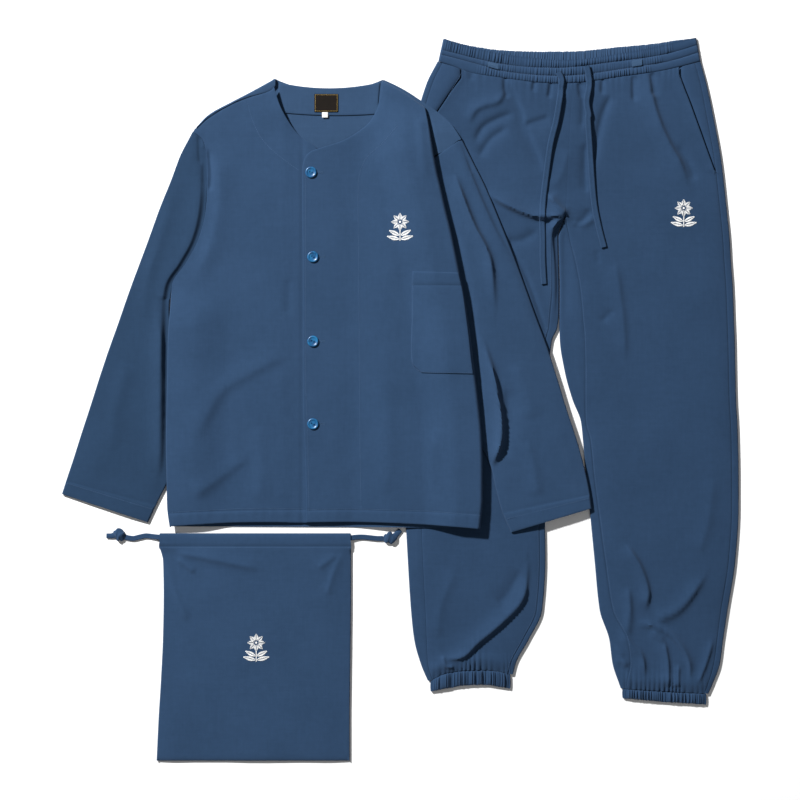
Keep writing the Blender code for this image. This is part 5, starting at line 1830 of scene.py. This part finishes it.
    def button(self, number: int, x: float, y: float) -> bpy.types.Object:
        """Two-hole button: a turned disc with a rim, a dished middle and real holes.

        Args:
            number: the button's number.
            x: its middle.
            y: its middle.

        Returns:
            The object.
        """
        profile = ((0.0, 1.35), (3.6, 1.35), (5.0, 1.45), (5.7, 1.8), (6.3, 2.2), (7.1, 2.4), (7.9, 2.25),
                   (8.5, 1.8), (8.7, 1.3), (8.5, 0.7), (7.8, 0.25), (6.0, 0.0), (0.0, -0.1))
        name = f"button_{number}_plastic"
        mesh = bpy.data.meshes.new(name)
        edges = [(i, i + 1) for i in range(len(profile) - 1)]
        mesh.from_pydata([(r * MM, 0, z * MM) for r, z in profile], edges, [])
        made = bpy.data.objects.new(name, mesh)
        bpy.context.scene.collection.objects.link(made)
        turn = made.modifiers.new("turn", "SCREW")
        turn.steps = turn.render_steps = 56
        turn.use_merge_vertices = True
        turn.merge_threshold = 0.00005
        cutters = []
        for side in (-1, 1):
            hole = (2.0 * side * math.cos(0.5) * MM, -2.0 * side * math.sin(0.5) * MM, 0)
            bpy.ops.mesh.primitive_cylinder_add(vertices=20, radius=1.0 * MM, depth=12 * MM, location=hole)
            cutters.append(bpy.context.object)
            cut = made.modifiers.new("hole", "BOOLEAN")
            cut.object = cutters[-1]
        flat = bpy.data.meshes.new_from_object(made.evaluated_get(bpy.context.evaluated_depsgraph_get()))
        base = float(self.heights.front(np.array([x]), np.array([y]))[0]) + 1.0 + 0.35
        for vert in flat.vertices:
            vert.co.x, vert.co.y, vert.co.z = vert.co.x + x * MM, vert.co.y + y * MM, vert.co.z + base * MM
        for thing in (made, *cutters):
            bpy.data.objects.remove(thing)
        flat.shade_smooth()
        flat.set_sharp_from_angle(angle=math.radians(40))
        flat.materials.clear()
        solid = bpy.data.objects.new(name, flat)
        bpy.context.scene.collection.objects.link(solid)
        return solid

    def label(self, name: str, left: float, right: float, low: float, high: float,
              thick: float) -> bpy.types.Object:
        """Small woven label lying on the facing.

        Args:
            name: the object's name.
            left: the x of its left side.
            right: the x of its right side.
            low: the y of its lower edge.
            high: the y of its upper edge.
            thick: its thickness.

        Returns:
            The object.
        """
        rows = [(left, y, right, y) for y in (high, (low + high) / 2, low)]
        return self.patch(name, Table("left_x left_y right_x right_y", *rows), self.heights.on_facing, thick)

    def sewing(self) -> list[Array]:
        """Routes of the shirt's stitches.

        Returns:
            The routes.
        """
        over, under = self.heights.left_front, self.heights.right_front
        routes = [self.on(under, ((-236, 460), (-231, 440), (-217, 409), (-194, 384), (-158, 357))),
                  self.on(over, ((-5, 423), (-28, 397), (-51, 377), (-62, 353), (-65, 320), (-64, 200),
                                 (-63, 60), (-62, -80), (-60, -186))),
                  self.on(over, ((-146.5, 350), (-146.5, 200), (-146.5, 40), (-143, -60), (-141, -186))),
                  self.on(under, ((-352, -174), (-300, -171), (-220, -168), (-152, -169))),
                  self.on(over, ((-144, -170), (-77, -169), (10, -171), (61, -173), (122, -178))),
                  self.on(over, ((20.5, 182), (52, 181), (89, 180))),
                  self.on(over, ((20.6, 196), (19.6, 130), (18.8, 64), (34, 44), (109, 42)), 1.6)]
        for table, share in ((RIGHT_SLEEVE, 0.94), (LEFT_SLEEVE, 0.92)):
            rows = table.rows
            start = mix(rows[-2, :2], rows[-1, :2], 0.3)
            stop = mix(rows[-2, 2:4], rows[-1, 2:4], 0.38)
            base = self.heights.sleeve_base("left" if table is LEFT_SLEEVE else "right")
            t = np.linspace(0.03, 0.97, 60)
            x, y = mix(start[0], stop[0], t), mix(start[1], stop[1], t)
            routes.append(np.column_stack([x, y, base(x, y) + 5.6 + 0 * t]))
        return routes

    def buttonholes(self) -> list[Array]:
        """Close rows of thread at the buttonholes.

        Returns:
            The routes.
        """
        routes = []
        for x, y in self.BUTTONS:
            for off in (-0.9, 0.9):
                xs = np.linspace(x + 6, x + 18.5, 12)
                z = self.heights.front(xs, xs * 0 + y) + 1.05
                routes.append(np.column_stack([xs, y + off + 0 * xs, z]))
        return routes

    def build(self) -> None:
        """Make and dress every piece of the shirt."""
        cotton = self.finishes.cotton
        for piece, finish, node, sheet in (
                (self.back(), self.finishes.inside, "back", Sheet(0.50, 0.72, 0.317)),
                (self.front("left"), cotton, "front_left", Sheet(0.30, 0.72, 0.183)),
                (self.front("right"), cotton, "front_right", Sheet(0.26, 0.70, 0.161)),
                (self.sleeve("left"), cotton, "sleeve_left", Sheet(0.46, 0.56, 0.163)),
                # the right sleeve wears the darker copy of the cotton, which is painted shade
                (self.sleeve("right"), self.finishes.turned, "sleeve_right", Sheet(0.42, 0.56, 0.135))):
            self.dress(piece, finish, Slot.COTTON, f"shirt_{node}", sheet=sheet)
        pocket = self.patch("chest_pocket_cloth", self.POCKET, self.heights.left_front, 1.4, band=20.0)
        self.dress(pocket, cotton, Slot.COTTON, "chest_pocket", sheet=Sheet(0.116, 0.18, 0.0187))
        facing = self.patch("neck_facing_cloth", self.FACING, self.heights.neck_inside, 1.3, bow=9.0, sag=4.0)
        self.dress(facing, self.finishes.inside, Slot.COTTON, "neck_facing", sheet=Sheet(0.18, 0.055, 0.0085))
        for number, (x, y) in enumerate(self.BUTTONS, start=1):
            self.dress(self.button(number, x, y), self.finishes.button, Slot.BUTTON, f"button_{number}")
        self.dress(self.label("neck_label_cloth", -133, -96, 447, 475, 0.8), self.finishes.black,
                   Slot.LABEL_BLACK, "neck_label", sheet=Sheet(0.037, 0.028, 0.00103))
        self.dress(self.label("size_tab_cloth", -121, -112, 438.5, 446.6, 0.7), self.finishes.tab,
                   Slot.LABEL_WHITE, "size_tab", sheet=Sheet(0.014, 0.010, 0.000075))
        thread = self.finishes.thread
        self.dress(Sewing(self.stitches).row("shirt_stitches", self.sewing(), thread), thread, Slot.COTTON)
        close = Sewing(self.stitches, 0.9, 1.2, 0.8)
        pale = self.finishes.pale
        self.dress(close.row("buttonhole_thread", self.buttonholes(), pale), pale, Slot.COTTON)
        border = [np.column_stack([route, 0 * route[:, 0] + 4.35]) for route in
                  (np.array([(-131.5, 473.5), (-97.5, 473.5)]), np.array([(-97.5, 473.5), (-97.5, 448.5)]),
                   np.array([(-97.5, 448.5), (-131.5, 448.5)]), np.array([(-131.5, 448.5), (-131.5, 473.5)]))]
        gold = self.finishes.gold
        edging = Sewing(self.stitches, 1.2, 1.3, 0.5)
        self.dress(edging.row("label_border", border, gold), gold, Slot.LABEL_BLACK)


class Pouch(Garment):
    """Drawstring pouch: front with its casing, back, cords and knots."""

    CORD_WIDTH = 8.0
    RIGHT_CORD = ((-365, -213), (-373, -213), (-384, -212), (-395, -211), (-405, -213), (-415, -215),
                  (-427, -213))
    LEFT_CORD = ((-84, -214), (-76, -214), (-66, -213), (-56, -213), (-46, -214), (-36, -215), (-26, -215))
    RIGHT_KNOT = Table("x y across rise", (-427.4, -213, 4.0, 2.6), (-431, -212, 7.5, 5.6), (-436, -209, 9.0, 7.4),
                       (-441, -209, 8.0, 6.2), (-444, -210, 4.6, 3.2), (-449, -211, 4.0, 2.6),
                       (-456, -211, 3.8, 2.2))
    LEFT_KNOT = Table("x y across rise", (-25.6, -215, 4.0, 2.6), (-22, -215, 7.2, 5.4), (-16, -214, 8.6, 7.4),
                      (-10, -213, 7.2, 5.8), (-7, -210, 4.4, 3.2), (-3, -206, 4.0, 2.6), (1, -202, 3.6, 2.2))

    def front(self) -> bpy.types.Object:
        """Front, its casing open at both ends and its sides folded down below that.

        Returns:
            The object.
        """
        heights = self.heights
        radius = Heights.POUCH_EDGE / 2
        casing = (0, 0.7, 1.8, 3.4, 8, 14, 17, 18.5, 19.5, 20.5, 22, 24, 27)
        sections = []
        for y in mix(-207.0, -560.0, shares(353.0, casing, (0, 0.7, 1.8, 3.4))):
            left, right = float(heights.pouch_left(y)), float(heights.pouch_right(y))
            folded = y < Heights.CASING_SEAM - 5
            section = Section()
            x = np.linspace(left + radius, right - radius, 110)
            z = heights.pouch(x, y + 0 * x)
            if folded:
                section.low([left + radius], y, 0.0)
                section.fold((left, y), (right, y), radius, 0.0, UPWARD)
            else:
                section.top(left + np.linspace(0, 1.6, 7), y, z[0])
            section.top(x, y, z)
            if folded:
                section.fold((right, y), (left, y), radius, 0.0, DOWNWARD)
                section.low([right - radius], y, 0.0)
            else:
                section.top(right - np.linspace(1.6, 0, 7), y, z[-1])
            sections.append(section)
        return shell("pouch_front_cloth", sections)

    def back(self) -> bpy.types.Object:
        """Back, flat on the floor.

        Returns:
            The object.
        """
        sections = []
        for y in np.linspace(-207, -560, 60):
            inset = 0.3 if y >= Heights.CASING_SEAM - 5 else Heights.POUCH_EDGE / 2 + 0.5
            x = np.linspace(self.heights.pouch_left(y) + inset, self.heights.pouch_right(y) - inset, 40)
            section = Section()
            section.low(x, y, 0.0)
            sections.append(section)
        return shell("pouch_back_cloth", sections)

    def cord_height(self, x: Array, y: Array) -> Array:
        """Height of a cord's middle: inside the casing, then down to the floor."""
        outside = np.maximum(-373.0 - x, x + 77.0)
        return mix(2.8, 1.3, step(outside / 18.0))

    def knot(self, side: str) -> bpy.types.Object:
        """Knot and the free end beyond it.

        Args:
            side: left or right, the wearer's.

        Returns:
            The object.
        """
        table = self.LEFT_KNOT if side == "left" else self.RIGHT_KNOT
        t = np.linspace(0, len(table.rows) - 1, 60)
        row = {name: table.by_row(name)(t) for name in table.names}
        path = np.stack([row["x"], row["y"]], 1)
        way = np.gradient(path, axis=0)
        way /= np.linalg.norm(way, axis=1)[:, None]
        angle = np.linspace(0, 2 * np.pi, 28, endpoint=False)
        lump = np.clip((row["rise"] - 2.8) / 4.0, 0, 1)
        twist = np.sin(angle[None, :] * 2 + t[:, None] * 3.4)
        turns = 1 + lump[:, None] * 0.16 * np.sign(twist) * np.abs(twist) ** 0.5
        side_way = row["across"][:, None] * np.cos(angle)[None, :] * turns
        x = path[:, :1] - way[:, 1:] * side_way
        y = path[:, 1:] + way[:, :1] * side_way
        z = 0.3 + row["rise"][:, None] / 2 * (1 + np.sin(angle)[None, :] * np.minimum(turns, 1.08))
        points = np.stack([x, y, z], -1)
        return tube(f"pouch_knot_{side}_cord", points)

    def build(self) -> None:
        """Make and dress every piece of the pouch."""
        cotton, cord = self.finishes.cotton, self.finishes.cord
        self.dress(self.front(), cotton, Slot.COTTON, "pouch_front", sheet=Sheet(0.32, 0.38, 0.1195))
        self.dress(self.back(), self.finishes.inside, Slot.COTTON, "pouch_back", sheet=Sheet(0.32, 0.38, 0.116))
        for side, points in (("left", self.LEFT_CORD), ("right", self.RIGHT_CORD)):
            knot = self.dress(self.knot(side), cord, Slot.CORD, f"pouch_knot_{side}")
            made, path = flat_cord(f"pouch_cord_{side}_cord", points, self.CORD_WIDTH, 2.0, self.cord_height)
            self.dress(made, cord, Slot.CORD, f"pouch_cord_{side}")
            declare_cord(path, self.CORD_WIDTH)
        height = self.heights.pouch
        routes = [self.on(height, ((-371, -229.5), (-290, -229), (-180, -229), (-79, -229.5)))]
        thread = self.finishes.thread
        self.dress(Sewing(self.stitches).row("pouch_stitches", routes, thread), thread, Slot.COTTON)


class Motif(Garment):
    """Plain white sprig in satin stitch: a flower, a stem and two pairs of leaves."""

    @staticmethod
    def leaf(base: tuple[float, float], angle: float, long: float, wide: float) -> list[Array]:
        """Satin stitches that fill a pointed leaf.

        Args:
            base: where it starts.
            angle: its direction, in degrees.
            long: its length.
            wide: its width.

        Returns:
            A short line for each stitch.
        """
        turn = math.radians(angle)
        way, side = np.array([math.cos(turn), math.sin(turn)]), np.array([-math.sin(turn), math.cos(turn)])
        lines = []
        for t in np.linspace(0.06, 0.96, max(6, int(long / 1.15))):
            half = wide / 2 * math.sin(math.pi * t ** 0.8)
            for sign in (-1, 1):
                inner = np.array(base) + way * long * t + side * sign * 0.35
                outer = np.array(base) + way * (long * (t + 0.06)) + side * sign * max(0.7, half)
                lines.append(np.stack([inner, outer]))
        return lines

    def place(self, name: str, x: float, y: float, height: Height) -> None:
        """Lay the sprig on the cloth.

        Args:
            name: the object's name.
            x: its middle.
            y: its middle.
            height: the cloth's upper face.
        """
        lines: list[Array] = []
        for k in range(8):
            angle = 90 + 45 * k
            turn = math.radians(angle)
            lines += self.leaf((3.2 * math.cos(turn), 7.5 + 3.2 * math.sin(turn)), angle, 10.0, 6.6)
        for turn in np.linspace(0, 2 * np.pi, 11)[:-1]:
            lines.append(np.array([(0.2 * math.cos(turn), 7.5 + 0.2 * math.sin(turn)),
                                   (1.7 * math.cos(turn), 7.5 + 1.7 * math.sin(turn))]))
        for t in np.linspace(-21.5, -6.5, 14):
            lines.append(np.array([(-0.8, t), (0.8, t + 0.6)]))
        for side in (-1, 1):
            for base, rise, long in (((0.6 * side, -19.5), 14, 19.5), ((0.6 * side, -13.5), 26, 17.5)):
                lines += self.leaf(base, rise if side > 0 else 180 - rise, long, 6.8)
        thread = []
        for line in lines:
            route = mix(line[0], line[1], np.linspace(0, 1, 4)[:, None]) + np.array([x, y])
            thread.append(np.column_stack([route, height(route[:, 0], route[:, 1]) + 0.25]))
        made = threads(name, thread, 1.0, 0.5)
        self.dress(made, self.finishes.white, Slot.LABEL_WHITE)


def threads(name: str, lines: Sequence[Array], width: float, thick: float) -> bpy.types.Object:
    """Lay short rounded threads along lines.

    Args:
        name: the object's name.
        lines: points of each thread, in millimetres.
        width: width of a thread.
        thick: its height.

    Returns:
        One mesh of all the threads.
    """
    points, faces, start = [], [], 0
    profile = np.array([(-0.5, 0.0), (-0.3, 0.8), (0.3, 0.8), (0.5, 0.0)])
    for line in lines:
        way = np.gradient(line[:, :2], axis=0)
        way /= np.maximum(1e-6, np.linalg.norm(way, axis=1))[:, None]
        across = np.column_stack([-way[:, 1], way[:, 0], 0 * way[:, 0]])
        size = np.ones((len(line), 1, 1))
        size[0] = size[-1] = 0.55 if len(line) > 2 else 1.0
        ring = (line[:, None, :] + across[:, None, :] * profile[None, :, :1] * width * size
                + np.array([0, 0, 1.0]) * profile[None, :, 1:] * thick * size)
        points.append(ring.reshape(-1, 3))
        n = len(profile)
        for i in range(len(line) - 1):
            for k in range(n):
                a, b = start + i * n + k, start + i * n + (k + 1) % n
                faces.append((a, b, b + n, a + n))
        faces.append((start, start + 3, start + 2, start + 1))
        top = start + (len(line) - 1) * n
        faces.append((top, top + 1, top + 2, top + 3))
        start += len(line) * n
    made = mesh_object(name, np.concatenate(points) * MM, np.array(faces))
    cap_ends(made)
    return made


@dataclass
class Studio:
    """Pale floor, soft light and a camera straight above."""

    view_width: float = 1.24
    camera_height: float = 3.2
    view_level: float = 0.008

    def build(self) -> None:
        """Make the floor, lights and camera."""
        bpy.ops.mesh.primitive_plane_add(size=9.0, location=(0, 0, -0.0006))
        floor = bpy.context.object
        floor.name = "floor"
        finish = bpy.data.materials.new("pale_floor")
        finish.use_nodes = True
        shader = finish.node_tree.nodes["Principled BSDF"]
        shader.inputs["Base Color"].default_value = (0.91, 0.91, 0.91, 1)
        shader.inputs["Roughness"].default_value = 0.9
        floor.data.materials.append(finish)
        for name, place, size, power in (("key", (-3.35, 3.5, 3.45), 0.42, 740.0),
                                         ("fill", (1.4, -1.2, 3.4), 2.2, 14.0)):
            light = bpy.data.lights.new(name, "AREA")
            light.size = size
            light.energy = power
            lamp = bpy.data.objects.new(name, light)
            lamp.location = place
            away = np.array(place) / np.linalg.norm(place)
            lamp.rotation_euler = (math.acos(away[2]), 0.0, math.atan2(away[1], away[0]) + math.pi / 2)
            bpy.context.scene.collection.objects.link(lamp)
        world = bpy.context.scene.world or bpy.data.worlds.new("studio")
        bpy.context.scene.world = world
        world.use_nodes = True
        world.node_tree.nodes["Background"].inputs[0].default_value = (1, 1, 1, 1)
        world.node_tree.nodes["Background"].inputs[1].default_value = 0.14
        bpy.context.scene.view_settings.view_transform = "Standard"
        camera = bpy.data.cameras.new("overhead")
        camera.sensor_width = 36.0
        camera.lens = 36.0 * (self.camera_height - self.view_level) / self.view_width
        viewer = bpy.data.objects.new("overhead", camera)
        viewer.location = (0.0, 0.0, self.camera_height)
        bpy.context.scene.collection.objects.link(viewer)
        bpy.context.scene.camera = viewer


def main() -> None:
    """Dress the frame, garment by garment."""
    logging.basicConfig(level=logging.INFO, format="%(name)s %(message)s")
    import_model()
    Studio().build()
    heights, finishes, stitches = Heights(), Finishes(), stitch_tree()
    Trousers(heights, finishes, stitches).build()
    Shirt(heights, finishes, stitches).build()
    Pouch(heights, finishes, stitches).build()
    motif = Motif(heights, finishes, stitches)
    motif.place("chest_sprig", 0.0, 268.0, heights.front)
    motif.place("thigh_sprig", 440.0, 290.0, heights.trousers)
    motif.place("pouch_sprig", -223.0, -384.0, heights.pouch)


if __name__ == "__main__":
    main()
